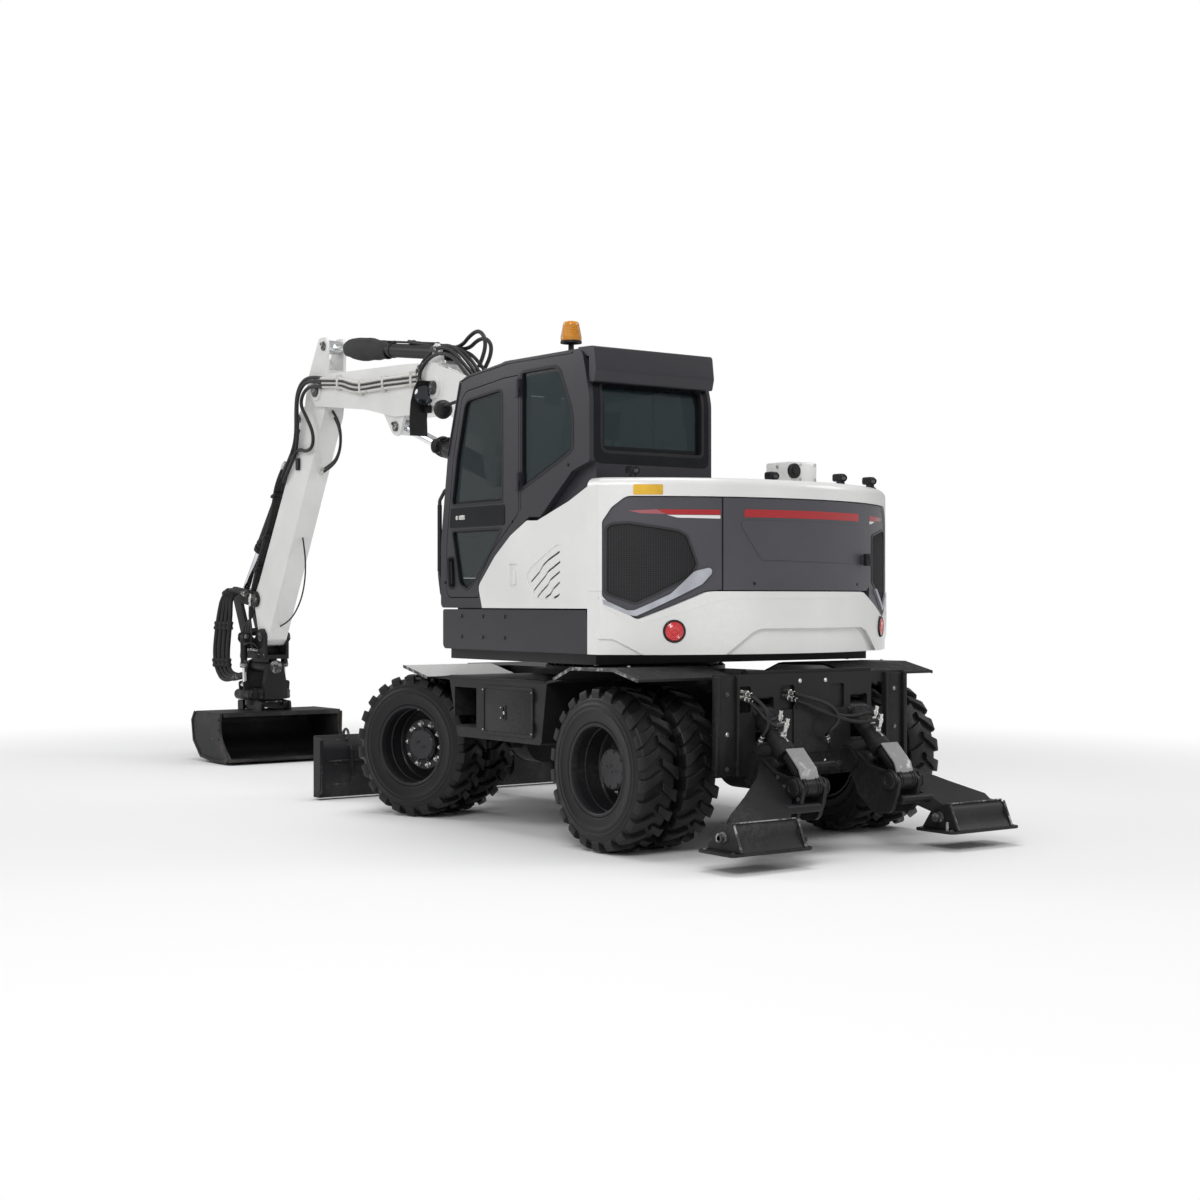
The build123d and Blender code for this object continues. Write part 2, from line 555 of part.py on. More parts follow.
RIGHT_GLASS = ((560, 2260, 40), (490, 2600, 400), (370, 3000, 100), (-850, 3060, 60), (-960, 2560, 60), (-200, 2260, 20))
WINDSCREEN = ((664, 1756), (672, 1756), (672, 2040, 300), (570, 2660, 300), (442, 3070), (434, 3070), (562, 2660, 300), (664, 2040, 300))
REAR_PANE = ((-1108, 2545), (-1100, 2545), (-1100, 2860), (-1070, 2998), (-1078, 2998), (-1108, 2860))
SIDE_GLASS = ((-350, 2330, 30), (-350, 3130, 30), (-800, 3130, 120), (-960, 2800, 300), (-960, 2560, 80), (-760, 2480, 40))
with BuildPart() as cab_shell:
    plate(CAB_BODY, CAB_IN, CAB_SKIN)
    plate(CAB_PROFILE, CAB_SKIN, CAB_OUT)
    plate(CAB_ROOM, CAB_IN + CAB_WALL, CAB_SKIN - 25, Mode.SUBTRACT)
    plate(DOOR, CAB_SKIN - 30, CAB_OUT + 10, Mode.SUBTRACT)
    plate(SIDE_GLASS, CAB_SKIN - 30, CAB_OUT + 10, Mode.SUBTRACT)
    plate(RIGHT_GLASS, CAB_IN - 5, CAB_IN + CAB_WALL + 5, Mode.SUBTRACT)
    cross_plate(FRONT_OPENING, 300, CAB_FRONT + 20, Mode.SUBTRACT)
    cross_plate(REAR_OPENING, -1200, -1000, Mode.SUBTRACT)
    hinge_barrels(DOOR_HINGE, DOOR_HINGE_Z, HINGE_LEN + HINGE_GAP, 2 * HINGE_LEN)
    for z_at in DOOR_HINGE_Z:
        block((-348, -328), (CAB_OUT - 5, DOOR_HINGE[1]), (z_at + HINGE_LEN + HINGE_GAP, z_at + 2 * HINGE_LEN))
finish(cab_shell, "cab_shell")

# Door and glass, fitted in the openings with an even gap
with BuildPart() as cab_door:
    plate(DOOR, CAB_OUT - DOOR_T, CAB_OUT, grow=-PANEL_GAP)
    plate(DOOR_GLASS_TOP, CAB_OUT - 60, CAB_OUT + 10, Mode.SUBTRACT)
    plate(DOOR_GLASS_LOW, CAB_OUT - 60, CAB_OUT + 10, Mode.SUBTRACT)
    hinge_barrels(DOOR_HINGE, DOOR_HINGE_Z, 0, HINGE_LEN)
    for z_at in DOOR_HINGE_Z:
        block((-330, -290), (CAB_OUT + 1, CAB_OUT + 20), (z_at, z_at + HINGE_LEN))
        block((-310, -290), (CAB_OUT - 5, CAB_OUT + 20), (z_at, z_at + HINGE_LEN))
finish(cab_door, "cab_door")


def pane(rows, y):
    """Thin pane that fills an opening, drawn from the same rows."""
    plate(rows, y - GLASS_T / 2, y + GLASS_T / 2, grow=-HINGE_GAP)


with BuildPart() as door_glass:
    pane(DOOR_GLASS_TOP, CAB_OUT - 20)
    pane(DOOR_GLASS_LOW, CAB_OUT - 20)
finish(door_glass, "door_glass")

with BuildPart() as windscreen:
    plate(WINDSCREEN, CAB_IN, CAB_OUT)
    cross_plate(FRONT_OPENING, 300, CAB_FRONT, Mode.INTERSECT, -HINGE_GAP)

with BuildPart() as rear_pane:
    plate(REAR_PANE, CAB_IN, CAB_OUT)
    cross_plate(REAR_OPENING, -1200, -1000, Mode.INTERSECT, -HINGE_GAP)

with BuildPart() as cab_glass:
    pane(SIDE_GLASS, CAB_OUT - 20)
    pane(RIGHT_GLASS, CAB_IN + 20)
    add(windscreen.part)
    add(rear_pane.part)
finish(cab_glass, "cab_glass")

# Seat, arm consoles and steering column inside the cab
SEAT_Y = (CAB_IN + CAB_OUT) / 2
with BuildPart() as cab_interior:
    block((-380, 120), (SEAT_Y - 230, SEAT_Y + 230), (1600 + HINGE_GAP, 1760))
    plate(((-420, 1900, 30), (-420, 2010, 40), (110, 2030, 60), (130, 1900, 60), (60, 1760), (-300, 1760)), SEAT_Y - 250, SEAT_Y + 250)
    plate(((-330, 1990, 40), (-560, 2650, 60), (-640, 2640, 60), (-460, 1950, 40)), SEAT_Y - 240, SEAT_Y + 240)
    plate(((-590, 2600, 20), (-640, 2860, 40), (-710, 2850, 40), (-650, 2600, 20)), SEAT_Y - 130, SEAT_Y + 130)
    for hand in (-1, 1):
        plate(((-250, 1780), (-300, 2150, 60), (60, 2200, 60), (110, 2080, 60), (0, 1780)),
              SEAT_Y + hand * 265, SEAT_Y + hand * 350)
        block((-250, -20), (SEAT_Y + hand * 225, SEAT_Y + hand * 300), (1780, 1860))
    block((400, 540), (SEAT_Y - 70, SEAT_Y + 70), (1600 + HINGE_GAP, 1640))
    bar((465, SEAT_Y, 1622), (360, SEAT_Y, 2150), 55)
    bar((372, SEAT_Y, 2120), (352, SEAT_Y, 2180), 190)
finish(cab_interior, "cab_interior")

# Beacon on its post, tail lamps and work lamps, each seated on the panel that carries it
BEACON = (-520, 930)
ROOF_SEAT = 3213
with BuildPart() as lamps:
    bar((BEACON[0], BEACON[1], ROOF_SEAT + 0.2), (BEACON[0], BEACON[1], 3330), 16)
    bar((BEACON[0], BEACON[1], 3330), (BEACON[0], BEACON[1], 3470), 62)
finish(lamps, "beacon")

# Lower boom: bent box section with foot tube, lift pin bosses, elbow ears and adjust ears
LOWER_BOOM = (
    (230, 1760, 60), (920, 2830, 300), (1280, 3110, 400), (2560, 3560, 60), (2600, 3300, 60), (2520, 3180, 100),
    (1780, 2760, 300), (1400, 2480, 300), (470, 1650, 60), (300, 1600, 60),
)
ELBOW_EAR = ((2150, 3420, 60), (2620, 3560, 90), (2860, 3480, 120), (2850, 3270, 120), (2600, 3190, 90), (2200, 3020, 60))
ELBOW_EAR_IN = UPPER_HALF + EYE_GAP
with BuildPart() as lower_boom:
    plate(LOWER_BOOM, BOOM_Y - BOOM_HALF, BOOM_Y + BOOM_HALF)
    cross_bar(ELBOW, BOOM_Y - BOOM_HALF - 1, BOOM_Y + BOOM_HALF + 1, 240, Mode.SUBTRACT)
    cross_bar(BOOM_FOOT, BOOM_Y - BOOM_HALF - EYE_GAP + HINGE_GAP, BOOM_Y + BOOM_HALF + EYE_GAP - HINGE_GAP, 100)
    lift_in = LIFT_Y - ear_gap(LIFT_TUBE) - HINGE_GAP
    cross_bar(LIFT_EYE, BOOM_Y - lift_in, BOOM_Y + lift_in, 85)
    for hand in (-1, 1):
        plate(ELBOW_EAR, BOOM_Y + hand * ELBOW_EAR_IN, BOOM_Y + hand * (ELBOW_EAR_IN + 30))
        cross_bar(ELBOW, BOOM_Y + hand * ELBOW_EAR_IN, BOOM_Y + hand * (ELBOW_EAR_IN + 45), 95)
        ear = ((1740, 2800), (1840, 2520, 40), (1960, 2520, 40), (1990, 2640, 40), (2050, 2900))
        y_in = ear_gap(ADJUST_TUBE) + HINGE_GAP
        plate(ear, BOOM_Y + hand * y_in, BOOM_Y + hand * (y_in + 28))
finish(lower_boom, "lower_boom")

# Upper boom: straight tapering box with a fork for the arm
UPPER_BOOM = (
    (2540, 3450, 60), (2720, 3600, 80), (3250, 3640, 200), (4720, 3700, 60), (5030, 3680, 100), (5090, 3540, 80),
    (4960, 3420, 60), (4000, 3310, 200), (3450, 3200, 100), (2860, 3180, 80), (2580, 3240, 60),
)
FORK_IN = ARM_HALF + EYE_GAP
with BuildPart() as upper_boom:
    plate(UPPER_BOOM, BOOM_Y - UPPER_HALF, BOOM_Y + UPPER_HALF)
    cross_bar(ARM_PIVOT, BOOM_Y - FORK_IN, BOOM_Y + FORK_IN, 460, Mode.SUBTRACT)
    cross_bar(ELBOW, BOOM_Y - ELBOW_EAR_IN + HINGE_GAP, BOOM_Y + ELBOW_EAR_IN - HINGE_GAP, 120)
    for hand in (-1, 1):
        cross_bar(ARM_PIVOT, BOOM_Y + hand * FORK_IN, BOOM_Y + hand * (UPPER_HALF + 14), 90)
        y_in = ear_gap(ARM_TUBE) + HINGE_GAP
        ear = ((2690, 3590), (2740, 3740, 40), (2800, 3780, 40), (2870, 3740, 40), (2950, 3600))
        plate(ear, BOOM_Y + hand * y_in, BOOM_Y + hand * (y_in + 26))
        y_in = ear_gap(ADJUST_TUBE) + HINGE_GAP
        ear = ((3300, 3220), (3380, 3060, 40), (3450, 3030, 40), (3520, 3060, 40), (3700, 3280))
        plate(ear, BOOM_Y + hand * y_in, BOOM_Y + hand * (y_in + 28))
finish(upper_boom, "upper_boom")

# Arm: deep at its pivot, with ears for the arm and bucket cylinders
ARM = (
    (4790, 3960, 60), (4800, 4060, 60), (4950, 4060, 60), (5180, 3700, 200), (5270, 3330, 200), (6250, 1770, 60),
    (6370, 1620, 60), (6340, 1500, 60), (6240, 1190, 60), (6150, 1125, 60), (6055, 1200, 60), (4850, 3330, 150),
    (4800, 3600, 100),
)
ARM_EAR_IN = ear_gap(ARM_TUBE) + HINGE_GAP
with BuildPart() as arm:
    plate(ARM, BOOM_Y - ARM_HALF, BOOM_Y + ARM_HALF)
    cross_bar(ARM_EYE, BOOM_Y - ARM_EAR_IN, BOOM_Y + ARM_EAR_IN, 225, Mode.SUBTRACT)
    cross_bar(ARM_PIVOT, BOOM_Y - FORK_IN + HINGE_GAP, BOOM_Y + FORK_IN - HINGE_GAP, 110)
    for hand in (-1, 1):
        y_in = ear_gap(BUCKET_TUBE) + HINGE_GAP
        ear = ((5150, 3480), (5330, 3430, 40), (5450, 3350, 40), (5430, 3260, 40), (5360, 3230, 40), (5290, 3160))
        plate(ear, BOOM_Y + hand * y_in, BOOM_Y + hand * (y_in + 26))
finish(arm, "arm")

# Rocker plates outside the arm, link plates between them and the coupler's ears
with BuildPart() as rocker:
    for hand in (-1, 1):
        y_in = ARM_HALF + HINGE_GAP
        rows = ((6200, 1600, 70), (6280, 1680, 70), (6820, 1735, 70), (6895, 1660, 70), (6820, 1590, 70), (6280, 1520, 70))
        plate(rows, BOOM_Y + hand * y_in, BOOM_Y + hand * (y_in + 24))
finish(rocker, "rocker")

LINK_IN = ear_gap(BUCKET_TUBE) + HINGE_GAP
with BuildPart() as link:
    for hand in (-1, 1):
        rows = ((6750, 1680, 60), (6800, 1725, 60), (6890, 1650, 60), (6720, 1330, 60), (6610, 1130, 60), (6530, 1085, 60), (6475, 1170, 60))
        plate(rows, BOOM_Y + hand * LINK_IN, BOOM_Y + hand * ARM_HALF)
    cross_bar(LINK_PIN, BOOM_Y - LINK_IN, BOOM_Y + LINK_IN, 55)
    bar((6610, BOOM_Y - LINK_IN, 1270), (6610, BOOM_Y + LINK_IN, 1270), 40)
finish(link, "link")

# Coupler below the arm: ears for the arm and link pins, a tilt hub along X and cylinder brackets
COUPLER_EAR = (
    (6060, 1010), (6060, 1250, 60), (6130, 1315, 60), (6210, 1300, 60), (6300, 1210, 60), (6460, 1210, 60),
    (6540, 1240, 60), (6620, 1190, 60), (6640, 1010),
)
COUPLER_IN = ARM_HALF + HINGE_GAP
with BuildPart() as coupler:
    for hand in (-1, 1):
        plate(COUPLER_EAR, BOOM_Y + hand * COUPLER_IN, BOOM_Y + hand * (COUPLER_IN + 28))
    block((6060, 6640), (BOOM_Y - COUPLER_IN - 28, BOOM_Y + COUPLER_IN + 28), (1010, 1050))
    block((6152, 6548), (BOOM_Y - 45, BOOM_Y + 45), (TILT_Z, 1012))
    bar((TILT_X[0] + 70 + HINGE_GAP, BOOM_Y, TILT_Z), (TILT_X[1] - 70 - HINGE_GAP, BOOM_Y, TILT_Z), 62)
    for hand in (-1, 1):
        for fore in (-1, 1):
            x_in = ROTOR_X + fore * (ear_gap(TILT_TUBE) + HINGE_GAP)
            rows = ((125, 1060), (125, 1200), (190, 1270, 20), (255, 1270, 30), (262, 1200, 30), (200, 1120, 40))
            cross_plate([(BOOM_Y + hand * row[0],) + row[1:] for row in rows], x_in, x_in + fore * 18)
finish(coupler, "coupler")

# Tilt body: two lugs on the hub, a round gear housing and ears for the tilt rods
HOUSING = (610, 690)
with BuildPart() as tilt_body:
    for x_in in (TILT_X[0], TILT_X[1] - 70):
        rows = ((-120, HOUSING[0]), (-120, 760, 60), (-74, 990, 70), (74, 990, 70), (120, 760, 60), (120, HOUSING[0]))
        cross_plate([(BOOM_Y + row[0],) + row[1:] for row in rows], x_in, x_in + 70)
    with BuildSketch(Plane.XY.offset(HOUSING[0])) as plan:
        with Locations((ROTOR_X, BOOM_Y)):
            Circle(255)
            Rectangle(540, 240)
    extrude(plan.sketch, amount=HOUSING[1] - HOUSING[0])
    for hand in (-1, 1):
        for fore in (-1, 1):
            x_in = ROTOR_X + fore * (ear_gap(TILT_TUBE) + HINGE_GAP)
            rows = ((165, HOUSING[1] - 20), (175, 785, 25), (255, 785, 25), (245, HOUSING[1] - 20))
            cross_plate([(BOOM_Y + hand * row[0],) + row[1:] for row in rows], x_in, x_in + fore * 18)
finish(tilt_body, "tilt_body")

# Rotor and tool hitch
HITCH_HALF = 150
with BuildPart() as hitch:
    with BuildSketch(Plane.XY.offset(545)) as plan:
        with Locations((ROTOR_X, BOOM_Y)):
            Circle(190)
    extrude(plan.sketch, amount=HOUSING[0] - HINGE_GAP - 545)
    rows = ((6130, 500, 20), (6110, 590, 30), (6210, 600, 20), (6500, 600, 20), (6590, 570, 30), (6580, 500, 20))
    for hand in (-1, 1):
        plate(rows, BOOM_Y + hand * 100, BOOM_Y + hand * HITCH_HALF)
    block((6160, 6560), (BOOM_Y - HITCH_HALF, BOOM_Y + HITCH_HALF), (530, 570))
finish(hitch, "hitch")

# Bucket: wide grading bucket with its mouth towards the machine
BUCKET_HALF = 650
BUCKET_OUT = (
    (5960, 495), (6560, 495, 90), (6640, 400, 110), (6600, 200, 200), (6420, 50, 150), (6100, 20, 80), (5740, 30), (5745, 58),
    (5990, 270, 250),
)
BUCKET_ROOM = (
    (5700, 600), (5700, 62), (6100, 40, 80), (6410, 69, 140), (6580, 206, 190), (6620, 395, 100), (6552, 475, 80), (5900, 475),
)
with BuildPart() as bucket:
    plate(BUCKET_OUT, BOOM_Y - BUCKET_HALF, BOOM_Y + BUCKET_HALF)
    plate(((5600, 475), (5600, 55)) + BUCKET_ROOM[1:], BOOM_Y - BUCKET_HALF + 20, BOOM_Y + BUCKET_HALF - 20, Mode.SUBTRACT)
    for hand in (-1, 1):
        y_in = HITCH_HALF + HINGE_GAP
        plate(((6090, 480), (6100, 590, 30), (6220, 590, 30), (6240, 480)), BOOM_Y + hand * y_in, BOOM_Y + hand * (y_in + 25))
        plate(((6470, 480), (6480, 590, 30), (6600, 590, 30), (6590, 470)), BOOM_Y + hand * y_in, BOOM_Y + hand * (y_in + 25))
finish(bucket, "bucket")
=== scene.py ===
import bmesh
import bpy
import json
from math import asin, cos, pi, radians, sin, sqrt, tau
from mathutils import Matrix, Vector


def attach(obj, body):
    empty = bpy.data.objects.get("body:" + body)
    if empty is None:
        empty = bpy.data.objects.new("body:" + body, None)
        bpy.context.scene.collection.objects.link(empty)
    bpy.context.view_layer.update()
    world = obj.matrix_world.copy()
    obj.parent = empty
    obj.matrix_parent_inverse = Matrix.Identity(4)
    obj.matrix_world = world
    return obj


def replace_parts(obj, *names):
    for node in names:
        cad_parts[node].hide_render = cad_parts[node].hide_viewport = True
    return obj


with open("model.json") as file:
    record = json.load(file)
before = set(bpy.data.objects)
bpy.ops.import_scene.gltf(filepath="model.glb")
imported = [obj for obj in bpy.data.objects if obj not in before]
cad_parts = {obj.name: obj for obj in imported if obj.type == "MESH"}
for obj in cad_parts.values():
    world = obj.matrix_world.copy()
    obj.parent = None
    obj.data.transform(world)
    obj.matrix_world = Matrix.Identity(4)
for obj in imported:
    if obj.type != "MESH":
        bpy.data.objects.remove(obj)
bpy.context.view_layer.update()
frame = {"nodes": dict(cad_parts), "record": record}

# Wheeled excavator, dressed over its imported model. Metres, +X forward, +Y left, +Z up.

EYE = (-10.72, 8.02, 1.595)
HEADING = -125.7
LENS = 55.35


def set_camera():
    """Level camera behind the left rear wheel, as the photograph was taken."""
    data = bpy.data.cameras.new("camera")
    data.lens = LENS
    data.sensor_width = 36
    data.clip_end = 200
    camera = bpy.data.objects.new("camera", data)
    camera.location = EYE
    camera.rotation_euler = (radians(90), 0, radians(HEADING))
    bpy.context.collection.objects.link(camera)
    bpy.context.scene.camera = camera


def area_light(name, spot, aim, size, power):
    data = bpy.data.lights.new(name, "AREA")
    data.shape = "DISK"
    data.size = size
    data.energy = power
    lamp = bpy.data.objects.new(name, data)
    lamp.location = spot
    lamp.rotation_euler = (Vector(aim) - Vector(spot)).to_track_quat("-Z", "Y").to_euler()
    bpy.context.collection.objects.link(lamp)


class Signal:
    """One output socket of a material; arithmetic on it adds Math nodes."""

    def __init__(self, tree, socket):
        self.tree = tree
        self.socket = socket

    def node(self, kind, inputs=None, out=0, **settings):
        """A node of this tree: its settings first, then the values or links of its sockets."""
        made = self.tree.nodes.new(kind)
        for key, value in settings.items():
            setattr(made, key, value)
        for key, value in (inputs or {}).items():
            if isinstance(value, Signal):
                self.tree.links.new(value.socket, made.inputs[key])
            else:
                made.inputs[key].default_value = value
        return Signal(self.tree, made.outputs[out]) if made.outputs else made

    def math(self, operation, first, second=0.0):
        return self.node("ShaderNodeMath", {0: first, 1: second}, operation=operation)

    def __add__(self, other):
        return self.math("ADD", self, other)

    __radd__ = __add__

    def __sub__(self, other):
        return self.math("SUBTRACT", self, other)

    def __rsub__(self, other):
        return self.math("SUBTRACT", other, self)

    def __mul__(self, other):
        return self.math("MULTIPLY", self, other)

    __rmul__ = __mul__

    def rise(self, low, high):
        """0 below low, 1 above high, smooth between."""
        inputs = {0: self, 1: low, 2: high, 3: 0.0, 4: 1.0}
        return self.node("ShaderNodeMapRange", inputs, interpolation_type="SMOOTHSTEP")

    def blend(self, first, second):
        """Colours mixed by this signal."""
        inputs = {0: self, 6: _colour(first), 7: _colour(second)}
        return self.node("ShaderNodeMix", inputs, out=2, data_type="RGBA")

    def stretched(self, x, y, z):
        return self.node("ShaderNodeVectorMath", {0: self, 1: (x, y, z)}, operation="MULTIPLY")

    def noise(self, scale, detail=3.0, rough=0.55):
        return self.node("ShaderNodeTexNoise", {
            "Vector": self, "Scale": scale, "Detail": detail, "Roughness": rough
        })

    def other(self, name):
        """Another output of the same node."""
        return Signal(self.tree, self.socket.node.outputs[name])

    def axis(self, index):
        return self.node("ShaderNodeSeparateXYZ", {0: self}, out=index)


def _colour(value):
    return value if isinstance(value, Signal) else (*value, 1.0)


def new_material(name):
    """An empty material and the signal of a point's place on its own piece."""
    material = bpy.data.materials.new(name)
    material.use_nodes = True
    tree = material.node_tree
    tree.nodes.clear()
    spot = tree.nodes.new("ShaderNodeTexCoord").outputs["Object"]
    return material, Signal(tree, spot)


def close_material(material, spot, bump=None, depth=0.001, **sockets):
    """Ends the tree in one Principled shader; socket names have _ for a space."""
    inputs = {key.replace("_", " "): value for key, value in sockets.items()}
    inputs["Base Color"] = _colour(inputs["Base Color"])
    if bump is not None:
        inputs["Normal"] = spot.node("ShaderNodeBump", {"Height": bump, "Strength": 1.0, "Distance": depth})
    shader = spot.node("ShaderNodeBsdfPrincipled", inputs)
    spot.node("ShaderNodeOutputMaterial", {"Surface": shader})
    return material


def painted(name, colour, rough=0.32, coat=0.4, dust=0.25, dust_top=0.9, shine=0.5):
    """Sprayed paint: faint orange peel, slow shade changes, dust that thins out with height."""
    material, spot = new_material(name)
    slow = spot.noise(1.3, 4.0)
    fine = spot.noise(38.0, 4.0)
    low = 1 - spot.axis(2).rise(0.0, dust_top)
    dusty = (low * 0.75 + 0.25) * slow.rise(0.42, 0.75) * fine.rise(0.3, 0.7) * dust
    shade = slow.rise(0.3, 0.7).blend([c * 0.93 for c in colour], [min(c * 1.05, 1) for c in colour])
    return close_material(
        material, spot, bump=spot.noise(260.0, 2.0), depth=0.0004, Base_Color=dusty.blend(shade, DUST),
        Roughness=dusty * 0.45 + (rough + fine * 0.08), Coat_Weight=coat, Coat_Roughness=0.12,
        Specular_IOR_Level=shine
    )


def worked(name, colour, bare, wear, rough=0.5, streak=(3, 3, 3), dust=0.3):
    """Black paint on steel that works: scuffs down to bare metal, caked dust, dull gloss."""
    material, spot = new_material(name)
    scuff = spot.stretched(*streak).noise(5.0, 8.0, 0.7)
    worn = scuff.rise(wear, wear + 0.1)
    dusty = spot.noise(2.2, 6.0, 0.65).rise(0.45, 0.8) * dust
    shade = dusty.blend(colour, DUST)
    return close_material(
        material, spot, bump=scuff, depth=0.002, Base_Color=worn.blend(shade, bare),
        Roughness=dusty * 0.35 + (rough - worn * 0.15), Metallic=worn * 0.8, Specular_IOR_Level=0.25
    )


def plain(name, colour, rough, bump_scale=120.0, depth=0.0005, metal=0.0, **more):
    """Moulded or polished surface with a fine grain and a slow change of gloss."""
    material, spot = new_material(name)
    slow = spot.noise(6.0, 3.0)
    shade = slow.rise(0.3, 0.7).blend([c * 0.85 for c in colour], [min(c * 1.12, 1) for c in colour])
    return close_material(
        material, spot, bump=spot.noise(bump_scale, 3.0), depth=depth, Base_Color=shade,
        Roughness=slow * 0.12 + (rough - 0.06), Metallic=metal, **more
    )


def tyre_rubber():
    """Black rubber with a dull shine, rubbed grey in patches, with dust held in the tread."""
    material, spot = new_material("tyre_rubber")
    grain = spot.noise(60.0, 6.0, 0.7)
    patch = spot.noise(4.0, 5.0, 0.6)
    dusty = patch.rise(0.48, 0.78) * grain.rise(0.35, 0.75)
    shade = (dusty * 0.4).blend((0.0095, 0.0095, 0.01), (0.05, 0.048, 0.046))
    return close_material(
        material, spot, bump=grain, depth=0.0012, Base_Color=shade, Roughness=0.4 + dusty * 0.35,
        Specular_IOR_Level=0.3
    )


def tinted_glass(name, thick):
    """Dark blue-green pane with a film of dust; thick is how much of the inside it hides."""
    material, spot = new_material(name)
    film = spot.noise(2.0, 5.0, 0.6).rise(0.45, 0.9)
    return close_material(
        material, spot, Base_Color=(0.012, 0.027, 0.029), Roughness=0.03 + film * 0.05,
        Alpha=thick + film * 0.06, Coat_Weight=0.25, Coat_Roughness=0.02, Specular_IOR_Level=0.45
    )


def chequer_plate():
    """Pale grey anti-slip sheet, speckled grit worn through in patches."""
    material, spot = new_material("grip_plate")
    grit = spot.node("ShaderNodeTexVoronoi", {"Vector": spot, "Scale": 95.0})
    patch = spot.noise(3.0, 6.0, 0.65).rise(0.35, 0.7)
    raised = 1 - grit.rise(0.1, 0.45)
    shade = (raised * patch * 0.6 + 0.4).blend((0.4, 0.4, 0.4), (0.88, 0.88, 0.87))
    return close_material(
        material, spot, bump=raised, depth=0.004, Base_Color=shade, Roughness=0.6 + patch * 0.2
    )


def woven_cloth(name, colour):
    """Seat cloth: a fine cross weave with a soft sheen."""
    material, spot = new_material(name)
    weave = spot.node("ShaderNodeTexWave", {"Vector": spot, "Scale": 90.0, "Distortion": 1.0}, out=1)
    cross = spot.node(
        "ShaderNodeTexWave", {"Vector": spot, "Scale": 90.0, "Distortion": 1.0}, out=1, bands_direction="Z"
    )
    shade = spot.noise(14.0).rise(0.3, 0.7).blend([c * 0.8 for c in colour], [c * 1.25 for c in colour])
    return close_material(
        material, spot, bump=weave * cross, depth=0.001, Base_Color=shade, Roughness=0.85, Sheen_Weight=0.3
    )


DUST = (0.23, 0.21, 0.19)
WHITE = painted("white_paint", (0.8, 0.8, 0.79), rough=0.28, coat=0.5, dust=0.16, dust_top=2.4)
DARK = painted("dark_paint", (0.027, 0.026, 0.032), rough=0.38, coat=0.12, dust=0.08, dust_top=2.0, shine=0.3)
GREY = painted("grille_paint", (0.072, 0.072, 0.084), rough=0.36, coat=0.15, dust=0.08, dust_top=2.0, shine=0.3)
BLACK = painted(
    "black_paint", (0.012, 0.012, 0.0135), rough=0.42, coat=0.06, dust=0.15, dust_top=1.3, shine=0.22
)
RIM_BLACK = painted(
    "rim_paint", (0.014, 0.014, 0.016), rough=0.4, coat=0.08, dust=0.22, dust_top=1.5, shine=0.25
)
WORK = worked("worked_steel", (0.014, 0.014, 0.015), (0.3, 0.29, 0.28), 0.66)
BLADE_STEEL = worked("blade_steel", (0.016, 0.016, 0.018), (0.26, 0.25, 0.25), 0.62, streak=(2, 1, 9))
CHROME = plain("chrome_rod", (0.74, 0.75, 0.77), 0.12, bump_scale=300.0, depth=0.0001, metal=1.0)
RUBBER = tyre_rubber()
GLASS = tinted_glass("tinted_glass", 0.72)
DOOR_GLASS = tinted_glass("door_tinted_glass", 0.45)
GRIP = chequer_plate()
CLOTH = woven_cloth("seat_cloth", (0.035, 0.035, 0.04))
CASTING = worked("engine_casting", (0.06, 0.06, 0.065), (0.3, 0.3, 0.3), 0.7)
AMBER = plain(
    "amber_lens", (0.9, 0.36, 0.02), 0.15, bump_scale=60.0, depth=0.0008, Transmission_Weight=0.25,
    Coat_Weight=0.6
)

HUB_BLACK = painted("hub_paint", (0.02, 0.02, 0.023), rough=0.45, coat=0.1, dust=0.45, dust_top=1.5)
ZINC = plain("zinc_plate", (0.62, 0.62, 0.6), 0.34, bump_scale=200.0, depth=0.0002, metal=1.0)
SILVER = plain("silver_trim", (0.5, 0.51, 0.56), 0.3, bump_scale=240.0, depth=0.0002, metal=0.55)
MESH_BLACK = plain("mesh_black", (0.022, 0.022, 0.025), 0.45, bump_scale=150.0, depth=0.0003)
# Flat near-black used as painted shade: the louvre slots and the space behind the grille meshes
SHADE_BLACK = plain("grille_shadow", (0.012, 0.012, 0.014), 0.6)
RED = painted("red_stripe", (0.4, 0.01, 0.016), rough=0.3, coat=0.4, dust=0.05)
PALE_RED = painted("pale_red_stripe", (0.36, 0.1, 0.115), rough=0.3, coat=0.4, dust=0.05)
RED_LENS = plain("red_lens", (0.62, 0.02, 0.03), 0.12, bump_scale=90.0, depth=0.0006, Coat_Weight=0.8)
GASKET = plain(
    "black_plastic", (0.012, 0.012, 0.014), 0.5, bump_scale=180.0, depth=0.0005, Specular_IOR_Level=0.3
)
YELLOW = plain("yellow_plate", (0.72, 0.43, 0.03), 0.4, bump_scale=60.0, depth=0.0002)
LENS_GLASS = plain("lens_glass", (0.01, 0.012, 0.018), 0.05, bump_scale=40.0, depth=0.0001, Coat_Weight=1.0)
FRIT = plain(
    "black_glass_border", (0.007, 0.008, 0.01), 0.16, bump_scale=40.0, depth=0.0001, Coat_Weight=0.1,
    Specular_IOR_Level=0.2
)
LENS_CLEAR = plain("clear_lens", (0.55, 0.56, 0.58), 0.1, bump_scale=90.0, depth=0.0006, Coat_Weight=1.0)
PIPING = plain("seat_piping", (0.1, 0.1, 0.11), 0.6, bump_scale=300.0, depth=0.0004)
PIPE_WHITE = worked("pipe_paint", (0.66, 0.65, 0.62), (0.36, 0.3, 0.25), 0.6, rough=0.4, dust=0.5)
WORN_STEEL = worked("worn_pin_steel", (0.05, 0.05, 0.052), (0.42, 0.41, 0.39), 0.5, rough=0.4)
# Lighter scuffed edges: real edge wear, and on the pads' top fold and ear edges also painted highlight
EDGE_WEAR_AND_HIGHLIGHT = worked("black_edge_wear_and_painted_highlight", (0.05, 0.05, 0.053), (0.36, 0.36, 0.36), 0.48, rough=0.45)
